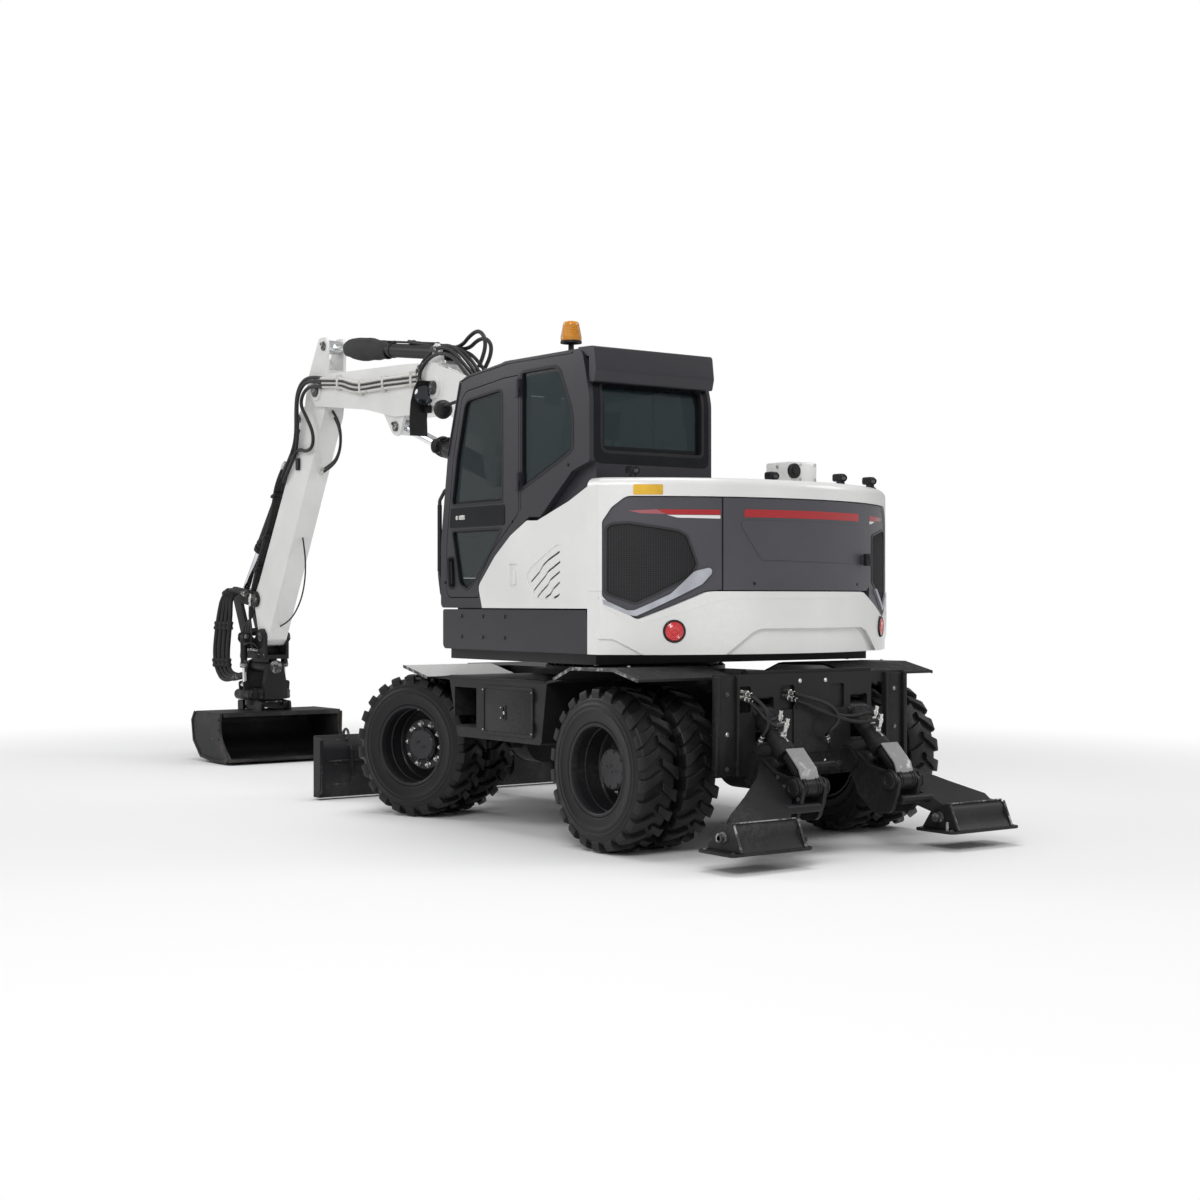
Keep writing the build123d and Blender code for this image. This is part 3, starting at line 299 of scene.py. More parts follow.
# Pale grey of the rod guards is painted sky reflection on their top faces, with real scuffs over it
GUARD_WEAR_AND_REFLECTION = worked("guard_plate_wear_and_painted_reflection", (0.27, 0.27, 0.275), (0.36, 0.36, 0.355), 0.52, rough=0.5, dust=0.2)
RIB_GREY = worked("worn_tread_grey", (0.085, 0.085, 0.088), (0.15, 0.15, 0.152), 0.5, rough=0.55)
CANVAS = plain("black_canvas", (0.014, 0.014, 0.015), 0.7, bump_scale=110.0, depth=0.002)
HOSE = plain("hose_rubber", (0.012, 0.012, 0.013), 0.5, bump_scale=220.0, depth=0.0008, Specular_IOR_Level=0.4)

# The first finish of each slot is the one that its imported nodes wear
SLOT_FINISHES = {
    "black_paint": (BLACK, GASKET, RIB_GREY, EDGE_WEAR_AND_HIGHLIGHT, WORN_STEEL, WORK, BLADE_STEEL),
    "white_paint": (WHITE, YELLOW, PIPE_WHITE), "dark_paint": (DARK,),
    "grille_paint": (GREY, SHADE_BLACK, MESH_BLACK, RED, PALE_RED), "rim_paint": (RIM_BLACK, HUB_BLACK),
    "chrome": (CHROME, SILVER, ZINC), "tyre": (RUBBER, HOSE),
    "glass": (GLASS, DOOR_GLASS, FRIT, LENS_GLASS, LENS_CLEAR), "fabric": (CLOTH, CANVAS, PIPING),
    "cast_iron": (CASTING, GRIP, GUARD_WEAR_AND_REFLECTION), "amber": (AMBER, RED_LENS)
}
SLOT_OF = {finish.name: slot for slot, finishes in SLOT_FINISHES.items() for finish in finishes}
NODE_EXTRA = {
    "bucket": WORK, "blade": BLADE_STEEL, "door_glass": DOOR_GLASS, "stabiliser_left_rod": BLACK,
    "stabiliser_right_rod": BLACK
}


def dress_nodes():
    """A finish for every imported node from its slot, and a small rounding of its sharp edges."""
    slots = {row["node"]: row["material_slot"] for row in frame["record"]["subparts"]}
    for name, node in frame["nodes"].items():
        node.data.materials.clear()
        node.data.materials.append(NODE_EXTRA.get(name, SLOT_FINISHES[slots[name]][0]))
        if slots[name] in ("tyre", "glass"):
            continue
        edge = node.modifiers.new("edge", "BEVEL")
        edge.width = 0.004
        edge.segments = 2
        edge.limit_method = "ANGLE"
        edge.angle_limit = radians(40)
        edge.harden_normals = True


def lay_floor():
    """Pale floor with a soft edge, white where only the camera sees past it."""
    floor = Form().sheet(((-80, -80), (80, -80), (80, 80), (-80, 80)), on_top(0), -0.02, 0).stand()
    floor.name = "floor"
    material, spot = new_material("floor")
    path = spot.node("ShaderNodeLightPath")
    seen = spot.math("MAXIMUM", path, spot.math(
        "MAXIMUM", path.other("Is Glossy Ray"), path.other("Is Transmission Ray")
    ))
    away = spot.node("ShaderNodeVectorMath", {0: spot, 1: (2.0, 0.0, 0.0)}, out=1, operation="DISTANCE")
    matt = spot.node("ShaderNodeBsdfDiffuse", {"Color": (0.9, 0.9, 0.905, 1)})
    bright = spot.node("ShaderNodeEmission", {"Color": (1, 1, 1, 1), "Strength": 1.0})
    shown = spot.node("ShaderNodeMixShader", {0: seen * away.rise(5.0, 10.5), 1: matt, 2: bright})
    spot.node("ShaderNodeOutputMaterial", {"Surface": shown})
    floor.data.materials.append(material)
    world = bpy.data.worlds.new("studio")
    bpy.context.scene.world = world
    world.use_nodes = True
    tree = world.node_tree
    tree.nodes.clear()
    sky = Signal(tree, tree.nodes.new("ShaderNodeLightPath").outputs["Is Camera Ray"])
    light = sky.node("ShaderNodeBackground", {"Color": (1, 1, 1, 1), "Strength": 0.45})
    backdrop = sky.node("ShaderNodeBackground", {"Color": (1, 1, 1, 1), "Strength": 1.0})
    shown = sky.node("ShaderNodeMixShader", {0: sky, 1: light, 2: backdrop})
    sky.node("ShaderNodeOutputWorld", {"Surface": shown})


def set_lights():
    area_light("key", (-9, 9, 9), (0, 0, 1.5), 5, 640)
    area_light("fill", (-7, -12, 9), (0, 0, 1.5), 6, 340)
    area_light("front", (12, 8, 8), (3, 0, 1.5), 7, 330)
    area_light("top", (1, 0, 13), (1, 0, 0), 8, 620)


CORNER_STEPS = 5


def soft(rows):
    """Outline of (u, v) or (u, v, corner radius) rows with its corners rounded."""
    line = []
    for index, row in enumerate(rows):
        here = Vector(row[:2])
        if len(row) < 3:
            line.append(here)
            continue
        before = (Vector(rows[index - 1][:2]) - here).normalized()
        after = (Vector(rows[(index + 1) % len(rows)][:2]) - here).normalized()
        half = before.angle(after, pi) / 2
        reach = row[2] / max(sin(half) / cos(half), 0.05)
        for step in range(CORNER_STEPS + 1):
            share = step / CORNER_STEPS
            a, b = here + before * reach, here + after * reach
            line.append(a * (1 - share) ** 2 + here * 2 * share * (1 - share) + b * share ** 2)
    return line


def spread(rows, by):
    """The same outline, moved outward by a distance (inward when negative), its corners rounded to match."""
    line = [Vector(row[:2]) for row in rows]
    area = sum(a.cross(b) for a, b in zip(line, line[1:] + line[:1]))
    hand = 1 if area > 0 else -1
    moved = []
    for row, before, here, after in zip(rows, line[-1:] + line[:-1], line, line[1:] + line[:1]):
        one = (here - before).normalized()
        two = (after - here).normalized()
        way = Vector((one.y + two.y, -one.x - two.x)) * hand
        way = way.normalized() if way.length else Vector((one.y, -one.x)) * hand
        lean = max(0.4, way.dot(Vector((one.y, -one.x)) * hand))
        bulge = by if one.cross(two) * hand > 0 else -by
        corner = [max(row[2] + bulge, 0.004)] if len(row) > 2 else []
        moved.append((*(here + way * by / lean), *corner))
    return soft(moved)


def corners(u_low, v_low, u_high, v_high, *radius):
    """Rectangle as rows, with a corner radius if one is given."""
    return [
        (u_low, v_low, *radius), (u_high, v_low, *radius), (u_high, v_high, *radius), (u_low, v_high, *radius)
    ]


def span(hand, one, other):
    """Two distances from the middle plane as low and high Y on the side of a hand."""
    return sorted((hand * one, hand * other))


def circle(middle, across, radius, count):
    """Points evenly round a middle, across the X or the Z axis."""
    x, y, z = middle
    turns = [(radius * cos(tau * k / count), radius * sin(tau * k / count)) for k in range(count)]
    return [(x, y + a, z + b) if across == "X" else (x + a, y + b, z) for a, b in turns]


def on_side(y, out=1):
    """Places (x, z) rows on an upright plane along X; depth grows outward."""
    return lambda u, v, w: (u, y + out * w, v)


def on_front(x, out=1):
    """Places (y, z) rows on an upright plane across X."""
    return lambda u, v, w: (x + out * w, u, v)


def on_top(z):
    """Places (x, y) rows on a level plane."""
    return lambda u, v, w: (u, v, z + w)


def on_tail(radius):
    """Places (y, z) rows on the round tail at a radius."""
    def place(u, v, w):
        lean = asin(max(-1.0, min(1.0, u / radius)))
        return (-(radius + w) * cos(lean), (radius + w) * sin(lean), v)
    return place


def placed(name, data, finish, body, slot=None):
    """A mesh or curve as an object with its finish, riding on its body."""
    data.materials.append(finish)
    made = bpy.data.objects.new(name, data)
    bpy.context.collection.objects.link(made)
    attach(made, body)
    slot or SLOT_OF[finish.name]
    return made


class Form:
    """Forms gathered in one mesh, then made into a piece that rides on a body."""

    def __init__(self):
        self.mesh = bmesh.new()

    def turned(self, spot, way, profile, sides=32, loop=False):
        """Turned about an axis: rows of (distance along it, radius)."""
        turn = Vector(way).to_track_quat("Z", "Y").to_matrix()
        rings = []
        for reach, radius in profile:
            ring = []
            for index in range(sides if radius else 1):
                angle = tau * index / sides
                ring.append(self.mesh.verts.new(Vector(spot) + turn @ Vector((
                    radius * cos(angle), radius * sin(angle), reach
                ))))
            rings.append(ring)
        for low, high in zip(rings, rings[1:] + (rings[:1] if loop else [])):
            for index in range(sides):
                corners = [
                    low[index % len(low)], low[(index + 1) % len(low)], high[(index + 1) % len(high)],
                    high[index % len(high)]
                ]
                corners = list(dict.fromkeys(corners))
                if len(corners) > 2:
                    self.mesh.faces.new(corners)
        return self

    def bolts(self, spots, way, size, high=None, washer=True):
        """Hexagon heads of a size across corners, each on its washer."""
        high = high or size * 0.34
        for spot in spots:
            r = size / 2
            if washer:
                self.turned(spot, way, ((-0.002, r * 1.25), (0.0025, r * 1.25), (0.003, 0)), 20)
            self.turned(spot, way, ((-0.002, r), (high * 0.8, r), (high, r * 0.85), (high, 0)), 6)
        return self

    def rod(self, start, end, radius, sides=20, edge=0.15):
        """Round bar between two points, its ends a little rounded."""
        run = Vector(end) - Vector(start)
        cut = min(radius * edge, run.length / 3)
        rows = (
            (0, 0), (0, radius - cut), (cut, radius), (run.length - cut, radius), (run.length, radius - cut),
            (run.length, 0)
        )
        return self.turned(start, run, rows, sides)

    def block(self, low, high, edge=0.004, steps=2, turn=None):
        """Box between two corners, its edges rounded; turn is a matrix about its middle."""
        middle = (Vector(low) + Vector(high)) / 2
        size = Vector(high) - Vector(low)
        made = bmesh.ops.create_cube(
            self.mesh, size=1, matrix=Matrix.Translation(middle) @ Matrix.Diagonal((*size, 1))
        )["verts"]
        if turn is not None:
            bmesh.ops.rotate(self.mesh, verts=made, cent=middle, matrix=turn)
        edges = list({line for vert in made for line in vert.link_edges})
        if edge:
            bmesh.ops.bevel(self.mesh, geom=edges, offset=edge, segments=steps, profile=0.5, affect="EDGES")
        return self

    def sheet(self, line, place, low, high, step=None, hole=None, bends=()):
        """Outline filled between two depths; step and bends cut it so that it bends with its place."""
        part = bmesh.new()
        outer = [part.verts.new((*row[:2], 0)) for row in line]
        if hole:
            inner = [part.verts.new((*row[:2], 0)) for row in hole]
            lines = []
            for ring in (outer, inner):
                lines += [part.edges.new(pair) for pair in zip(ring, ring[1:] + ring[:1])]
            bmesh.ops.triangle_fill(part, use_beauty=True, use_dissolve=False, edges=lines)
        else:
            part.faces.new(outer)
        planes = []
        if step:
            us = [row[0] for row in line]
            cut = min(us) + step
            while cut < max(us):
                planes.append(((cut, 0, 0), (1, 0, 0)))
                cut += step
        planes += [((0, bend, 0), (0, 1, 0)) for bend in bends]
        for spot, way in planes:
            geom = part.verts[:] + part.edges[:] + part.faces[:]
            bmesh.ops.bisect_plane(part, geom=geom, plane_co=spot, plane_no=way)
        made = bmesh.ops.extrude_face_region(part, geom=part.faces[:])["geom"]
        raised = {item for item in made if isinstance(item, bmesh.types.BMVert)}
        for vert in part.verts:
            vert.co = place(vert.co.x, vert.co.y, high if vert in raised else low)
        bmesh.ops.recalc_face_normals(part, faces=part.faces[:])
        spare = bpy.data.meshes.new("spare")
        part.to_mesh(spare)
        part.free()
        self.mesh.from_mesh(spare)
        bpy.data.meshes.remove(spare)
        return self

    def ribbon(self, line, wide, place, low, high):
        """Open line of (u, v) rows given a width, then filled as a sheet."""
        points = [Vector(row[:2]) for row in line]
        left, right = [], []
        for index, here in enumerate(points):
            way = (points[min(index + 1, len(points) - 1)] - points[max(index - 1, 0)]).normalized() * wide / 2
            left.append((here.x - way.y, here.y + way.x))
            right.append((here.x + way.y, here.y - way.x))
        return self.sheet(left + right[::-1], place, low, high)

    def stack(self, rings):
        """Solid through rings of equally many points, closed at both ends."""
        made = [[self.mesh.verts.new(spot) for spot in ring] for ring in rings]
        for low, high in zip(made, made[1:]):
            for index in range(len(low)):
                after = (index + 1) % len(low)
                self.mesh.faces.new((low[index], low[after], high[after], high[index]))
        self.mesh.faces.new(made[0][::-1])
        self.mesh.faces.new(made[-1])
        return self

    def stand(self):
        """The mesh as a bare object, for carved()."""
        bmesh.ops.recalc_face_normals(self.mesh, faces=self.mesh.faces[:])
        data = bpy.data.meshes.new("spare")
        self.mesh.to_mesh(data)
        self.mesh.free()
        made = bpy.data.objects.new("spare", data)
        bpy.context.collection.objects.link(made)
        return made

    def piece(self, name, finish, body, slot=None, edge=0.0, angle=35, subdivide=0):
        """The mesh as an object with its finish and body; edge rounds what is sharp; the slot is not used."""
        bmesh.ops.recalc_face_normals(self.mesh, faces=self.mesh.faces[:])
        data = bpy.data.meshes.new(name)
        self.mesh.to_mesh(data)
        self.mesh.free()
        made = placed(name, data, finish, body, slot)
        for face in data.polygons:
            face.use_smooth = True
        data.set_sharp_from_angle(angle=radians(angle))
        if edge:
            rounding = made.modifiers.new("edge", "BEVEL")
            rounding.width = edge
            rounding.segments = 2
            rounding.limit_method = "ANGLE"
            rounding.angle_limit = radians(angle)
            rounding.harden_normals = True
        if subdivide:
            smooth = made.modifiers.new("smooth", "SUBSURF")
            smooth.levels = smooth.render_levels = subdivide
        return made


def carved(base, cutters):
    """The first form with the others cut out of it."""
    body = base.stand()
    tools = [cutter.stand() for cutter in cutters]
    for tool in tools:
        cut = body.modifiers.new("cut", "BOOLEAN")
        cut.operation = "DIFFERENCE"
        cut.solver = "EXACT"
        cut.object = tool
    left = bpy.data.meshes.new_from_object(body.evaluated_get(bpy.context.evaluated_depsgraph_get()))
    made = Form()
    made.mesh.from_mesh(left)
    bmesh.ops.remove_doubles(made.mesh, verts=made.mesh.verts[:], dist=0.0001)
    for spare in [body] + tools:
        bpy.data.objects.remove(spare)
    bpy.data.meshes.remove(left)
    return made


def tubes(name, runs, radius, closed=False):
    """Round tubes as curves, each smooth through its own control points."""
    data = bpy.data.curves.new(name, "CURVE")
    data.dimensions = "3D"
    data.bevel_depth = radius
    data.bevel_resolution = 4
    data.use_fill_caps = not closed
    data.resolution_u = 12 if closed else 10
    for run in runs:
        line = data.splines.new("NURBS")
        line.points.add(len(run) - 1)
        for point, spot in zip(line.points, run):
            point.co = (*spot, 1)
        line.use_cyclic_u = closed
        line.use_endpoint_u = not closed
        line.order_u = 3
    return data


def hoses(name, runs, radius, body, finish=None, ends=None):
    """Hoses or pipes fixed at both ends, with a fitting at each end when ends names its finish."""
    placed(name, tubes(name, runs, radius), finish or HOSE, body)
    if ends:
        fittings = Form()
        for run in runs:
            for first, second in ((run[0], run[1]), (run[-1], run[-2])):
                way = Vector(second) - Vector(first)
                r = radius
                rows = (
                    (-0.004, 0), (-0.004, r * 1.2), (0.022, r * 1.2), (0.024, r * 1.55), (0.048, r * 1.55),
                    (0.052, r * 1.2), (0.08, r * 1.2), (0.082, r)
                )
                fittings.turned(first, way, rows, 12)
        fittings.piece(f"{name}_ends", ends, body, "chrome")


WHEEL_R = 0.525
KINGPIN = (1.275, 0.79)
RIM_FACE = 0.468
DISC_FACE = 0.237
HUB_FACE = 0.347
TYRE_MIDS = (0.0125, 0.3425)
TYRE_HALF = 0.1375
LUG_COUNT = 22
TREAD_REACH = 0.52
# One lug from the middle of the tread to the sidewall: place across and radius of its top,
# the same of its root, how far it runs ahead, and its width
LUG_ROWS = (
    (0.003, 0.5245, 0.003, 0.488, 0.08, 0.046), (0.045, 0.5245, 0.045, 0.488, 0.054, 0.052),
    (0.08, 0.5225, 0.078, 0.486, 0.029, 0.062), (0.112, 0.518, 0.1, 0.478, 0.012, 0.074),
    (0.132, 0.5105, 0.11, 0.465, 0.003, 0.08), (0.14, 0.488, 0.118, 0.455, 0.0, 0.084),
    (0.1395, 0.456, 0.12, 0.445, 0.0, 0.086)
)


def tyre_pair(pin, out, hand):
    """Two tyres side by side: rounded carcass and leaning lugs that fold over the shoulder."""
    up = Vector((0, 0, 1))
    along = out.cross(up)
    form = Form()
    half = TYRE_HALF
    side = (
        (half - 0.025, 0.29), (half - 0.008, 0.32), (half, 0.385), (half - 0.003, 0.445), (half - 0.01, 0.468),
        (half - 0.026, 0.486), (half - 0.05, 0.494)
    )
    for mid in TYRE_MIDS:
        rows = [(-a, r) for a, r in side] + [(0, 0.4965)] + list(side[::-1])
        form.turned(pin + out * mid, out, rows, 96, loop=True)
        for index in range(LUG_COUNT * 2):
            way = 1 if index % 2 else -1
            start = tau * index / (LUG_COUNT * 2)
            rings = []
            for top_a, top_r, root_a, root_r, ahead, wide in LUG_ROWS:
                ring = []
                for a, r, shift in (
                    (root_a, root_r, -wide / 2 - 0.008), (top_a, top_r, -wide / 2), (top_a, top_r, wide / 2),
                    (root_a, root_r, wide / 2 + 0.008)
                ):
                    angle = start - hand * (ahead + shift) / TREAD_REACH
                    spot = pin + out * (mid + way * a) + (along * cos(angle) + up * sin(angle)) * r
                    ring.append(form.mesh.verts.new(spot))
                rings.append(ring)
            for low, high in zip(rings, rings[1:]):
                for k in range(4):
                    form.mesh.faces.new((low[k], low[(k + 1) % 4], high[(k + 1) % 4], high[k]))
            form.mesh.faces.new(rings[0][::-1])
            form.mesh.faces.new(rings[-1])
    return form


def dress_wheels():
    """Rim lips, zinc nuts, hub caps, valves and ribbed sidewalls on the four twin wheels."""
    for end, x, steer in (("front", KINGPIN[0], radians(20)), ("rear", -KINGPIN[0], 0.0)):
        for place, hand in (("left", 1), ("right", -1)):
            body = f"wheel_{end}_{place}"
            pin = Vector((x, hand * KINGPIN[1], WHEEL_R))
            out = Vector((-sin(steer), cos(steer), 0)) * hand
            up = Vector((0, 0, 1))
            along = out.cross(up)

            def ring_of(count, radius, reach, start=0.0):
                angles = [start + tau * index / count for index in range(count)]
                return [pin + out * reach + (along * cos(a) + up * sin(a)) * radius for a in angles]

            face = pin + out * RIM_FACE
            lip = Form().turned(face, out, (
                (-0.034, 0.268), (-0.006, 0.272), (0.004, 0.276), (0.008, 0.284), (0.006, 0.296), (0.0, 0.302),
                (-0.008, 0.305), (-0.016, 0.3), (-0.02, 0.288), (-0.034, 0.276)
            ), 96, loop=True)
            lip.turned(pin + out * (DISC_FACE + 0.006), out, (
                (-0.006, 0.256), (0.012, 0.262), (0.018, 0.27), (0.012, 0.2745), (-0.006, 0.2745)
            ), 96, loop=True)
            lip.turned(pin + out * 0.35, out, (
                (0, 0.2745), (0.004, 0.268), (0.014, 0.268), (0.018, 0.2745)
            ), 96, loop=True)
            lip.piece(f"rim_lips_{end}_{place}", RIM_BLACK, body)
            cap = Form()
            flange = pin + out * HUB_FACE
            if end == "front":
                cap.turned(flange, out, (
                    (-0.06, 0.19), (-0.046, 0.19), (-0.04, 0.184), (-0.04, 0.122), (-0.012, 0.118),
                    (0.004, 0.114), (0.01, 0.106), (0.011, 0.06), (0.01, 0.04), (0.01, 0)
                ), 64)
            else:
                cap.turned(flange, out, (
                    (-0.028, 0.138), (-0.012, 0.141), (-0.006, 0.139), (0.001, 0.13), (0.006, 0.124),
                    (0.008, 0.1), (0.007, 0.096), (0.007, 0.07), (0.007, 0)
                ), 64)
            cap.turned(pin + out * DISC_FACE, out, (
                (-0.002, 0.212), (0.006, 0.208), (0.01, 0.196), (0.01, 0.14)
            ), 64)
            cap.bolts(ring_of(8, 0.112, HUB_FACE + 0.007, 0.2), out, 0.018)
            cap.bolts(ring_of(2, 0.03, HUB_FACE + 0.026, 0.6), out, 0.014)
            cap.piece(f"hub_{end}_{place}", HUB_BLACK, body)
            nuts = Form()
            nut_at = (0.154, HUB_FACE - 0.04) if end == "front" else (0.167, DISC_FACE + 0.009)
            for spot in ring_of(10, *nut_at, 0.1):
                nuts.turned(spot, out, ((-0.002, 0.025), (0.004, 0.025), (0.007, 0.022), (0.007, 0.018)), 24)
                nuts.turned(spot, out, ((0.004, 0.0205), (0.016, 0.0205), (0.021, 0.017), (0.023, 0.011)), 6)
                nuts.turned(spot, out, ((0.018, 0.0115), (0.028, 0.011), (0.031, 0.008), (0.032, 0)), 16)
            nuts.rod(pin + out * 0.3 + up * 0.262, pin + out * 0.37 + up * 0.262, 0.006)
            nuts.rod(pin + out * 0.37 + up * 0.262, pin + out * 0.384 + up * 0.262, 0.008)
            nuts.piece(f"wheel_nuts_{end}_{place}", ZINC, body)
            wall = Form()
            for mid in TYRE_MIDS:
                for way in (1, -1):
                    spot = pin + out * mid
                    edge = TYRE_HALF
                    rows = (
                        (edge - 0.02, 0.298), (edge - 0.006, 0.303), (edge - 0.002, 0.312),
                        (edge - 0.004, 0.322), (edge + 0.0035, 0.345), (edge + 0.004, 0.372),
                        (edge + 0.0075, 0.376), (edge + 0.0075, 0.386), (edge + 0.004, 0.39),
                        (edge + 0.004, 0.404), (edge + 0.007, 0.407), (edge + 0.007, 0.413),
                        (edge + 0.003, 0.417), (edge, 0.436), (edge - 0.001, 0.452), (edge - 0.012, 0.462),
                        (edge - 0.024, 0.474), (edge - 0.03, 0.474), (edge - 0.03, 0.3)
                    )
                    wall.turned(spot, out * way, rows, 96, loop=True)
            wall.piece(f"sidewalls_{end}_{place}", RUBBER, body, angle=50)
            tread = tyre_pair(pin, out, hand).piece(f"tread_{end}_{place}", RUBBER, body, edge=0.005, angle=28)
            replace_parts(tread, f"tyres_{end}_{place}")


COVER_R = 1.784
GRILLE_R = 1.778
TAIL_R = 1.8
SHELL_R = 1.792
SIDE_OUT = 1.242
CAB_OUT = 1.22
CAB_IN = 0.22
# Angle to the left of straight back, and height, of the two tail lamps
LAMP_SPOTS = ((29, 1.398), (-33, 1.412))
# How far a painted stripe's back and front stand off its panel
STRIPE = (0.0004, 0.0014)
MESH = (
    (1.205, 1.64, 0.03), (1.205, 2.07, 0.05), (1.099, 2.079, 0.05), (0.835, 2.029, 0.06), (0.789, 1.998, 0.04),
    (0.73, 1.822, 0.03), (0.766, 1.746, 0.03), (1.064, 1.575, 0.03), (1.17, 1.62, 0.02)
)
MESH_RIGHT = (
    (-1.205, 1.64, 0.03), (-1.205, 2.07, 0.05), (-1.099, 2.079, 0.05), (-0.846, 2.03, 0.03),
    (-0.846, 1.72, 0.03), (-1.064, 1.575, 0.03), (-1.17, 1.62, 0.02)
)
TRIM = (
    (1.24, 1.612), (1.104, 1.53, 0.012), (1.069, 1.53, 0.02), (0.879, 1.633, 0.06), (0.745, 1.776, 0.06),
    (0.655, 1.8, 0.02), (0.64, 1.785, 0.01), (0.643, 1.76, 0.01), (0.7, 1.694, 0.05), (1.059, 1.494, 0.02),
    (1.099, 1.5, 0.02), (1.232, 1.578)
)


def crossings(line, index, value):
    """Where a level or upright line at a value meets an outline, in pairs."""
    found = []
    for a, b in zip(line, line[1:] + line[:1]):
        if (a[index] - value) * (b[index] - value) < 0:
            share = (value - a[index]) / (b[index] - a[index])
            found.append(a[1 - index] + share * (b[1 - index] - a[1 - index]))
    found.sort()
    return list(zip(found[::2], found[1::2]))


def woven_mesh(outline, pitch, wire, place):
    """Flat wires crossing at a pitch inside an outline, on the round tail."""
    line = spread(outline, 0.004)
    form = Form()
    for index in (0, 1):
        values = [row[index] for row in line]
        value = min(values) + pitch / 2
        while value < max(values):
            for start, end in crossings(line, index, value):
                if index:
                    form.sheet(corners(start, value - wire, end, value + wire), place, 0, 0.0025, step=0.06)
                else:
                    form.sheet(corners(value - wire, start, value + wire, end), place, 0.002, 0.0045)
            value += pitch
    return form


HOUSE_LOW = 1.25
CASTING_TOP = 1.65
HOOD_TOP = 2.37
HOUSE_HALF = 1.25
HOUSE_FRONT = -1.16
HOOD_ROUND = 0.055
HOOD_WALL = 0.04
ARC_STEPS = 72
DOOR_EDGES = (0.569, -0.79)
OPENING = (
    (0.6, 1.654), (0.68, 1.645, 0.06), (1.064, 1.47, 0.04), (1.2, 1.57, 0.04), (1.235, 1.62, 0.04),
    (1.235, 2.09, 0.06), (1.19, 2.18, 0.06), (1.12, 2.25, 0.06)
)
SURROUND = (
    (0.52, 1.6, 0.06), (0.64, 1.578, 0.06), (1.075, 1.435, 0.04), (1.23, 1.545, 0.06), (1.245, 1.64),
    (1.245, 1.8)
)
LOW_RECESS = (
    (0.56, 1.2), (0.56, 1.255), (0.382, 1.391, 0.04), (0.325, 1.414, 0.04), (-0.63, 1.414, 0.04),
    (-0.7, 1.391, 0.04), (-0.864, 1.255), (-0.864, 1.2)
)
SIDE_RECESS = ((1.26, 1.2), (1.26, 1.35), (1.19, 1.35, 0.04), (1.04, 1.25), (1.04, 1.2))
LOUVRES = (
    ((-0.492, 1.721), (-0.592, 1.786), (-0.643, 1.835), (-0.702, 1.867), (-0.83, 1.917)),
    ((-0.525, 1.663), (-0.606, 1.72), (-0.665, 1.761), (-0.695, 1.789), (-0.837, 1.852)),
    ((-0.569, 1.62), (-0.621, 1.658), (-0.695, 1.703), (-0.724, 1.736), (-0.832, 1.787)),
    ((-0.662, 1.615), (-0.724, 1.642), (-0.76, 1.678), (-0.832, 1.718)),
    ((-0.76, 1.616), (-0.804, 1.628), (-0.828, 1.641))
)


def mirrored(rows):
    """Rows of the left half, then the right half in reverse."""
    return list(rows) + [(-row[0], *row[1:]) for row in rows[::-1]]


def tail_ring(z, radius, half, front=HOUSE_FRONT):
    """Plan of the round tail at one height: an arc about the slew axis, cut by both sides and a front line."""
    reach = asin(half / radius)
    arc = [-reach + 2 * reach * index / ARC_STEPS for index in range(ARC_STEPS + 1)]
    return [(front, -half, z)] + [(-radius * cos(a), radius * sin(a), z) for a in arc] + [(front, half, z)]


def tail_lamps():
    """Each tail lamp's level direction out of the tail, and its height as a vector."""
    return [(Vector((-cos(radians(lean)), sin(radians(lean)), 0)), Vector((0, 0, z))) for lean, z in LAMP_SPOTS]


def slit(wave):
    """Outline of one louvre's opening below its wave."""
    return [*wave, *((x, z - 0.015) for x, z in wave[::-1])]


def dress_house():
    """Cast counterweight with its recesses and lamp wells."""
    tail = on_tail(TAIL_R)
    block = Form().stack([tail_ring(z, TAIL_R, HOUSE_HALF) for z in (HOUSE_LOW, CASTING_TOP)])
    cuts = [
        Form().sheet(soft(rows), tail, -deep, 0.05, step=0.04)
        for rows, deep in (
            (SIDE_RECESS, 0.016), ([(-row[0], *row[1:]) for row in SIDE_RECESS], 0.016),
            (mirrored(SURROUND), 0.008), (LOW_RECESS, 0.026)
        )
    ]
    cuts.append(Form().sheet(soft(mirrored(OPENING)), on_front(-1.9), 0, 0.7))
    wells = Form()
    for way, rise in tail_lamps():
        wells.rod(way * (TAIL_R - 0.018) + rise, way * (TAIL_R + 0.03) + rise, 0.074, sides=48, edge=0)
    casting = carved(block, cuts + [wells])
    for way, rise in tail_lamps():
        casting.rod(way * (TAIL_R - 0.03) + rise, way * (TAIL_R + 0.003) + rise, 0.066, sides=48, edge=0.05)
    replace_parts(casting.piece("cast_counterweight", WHITE, "upper", edge=0.006), "counterweight")


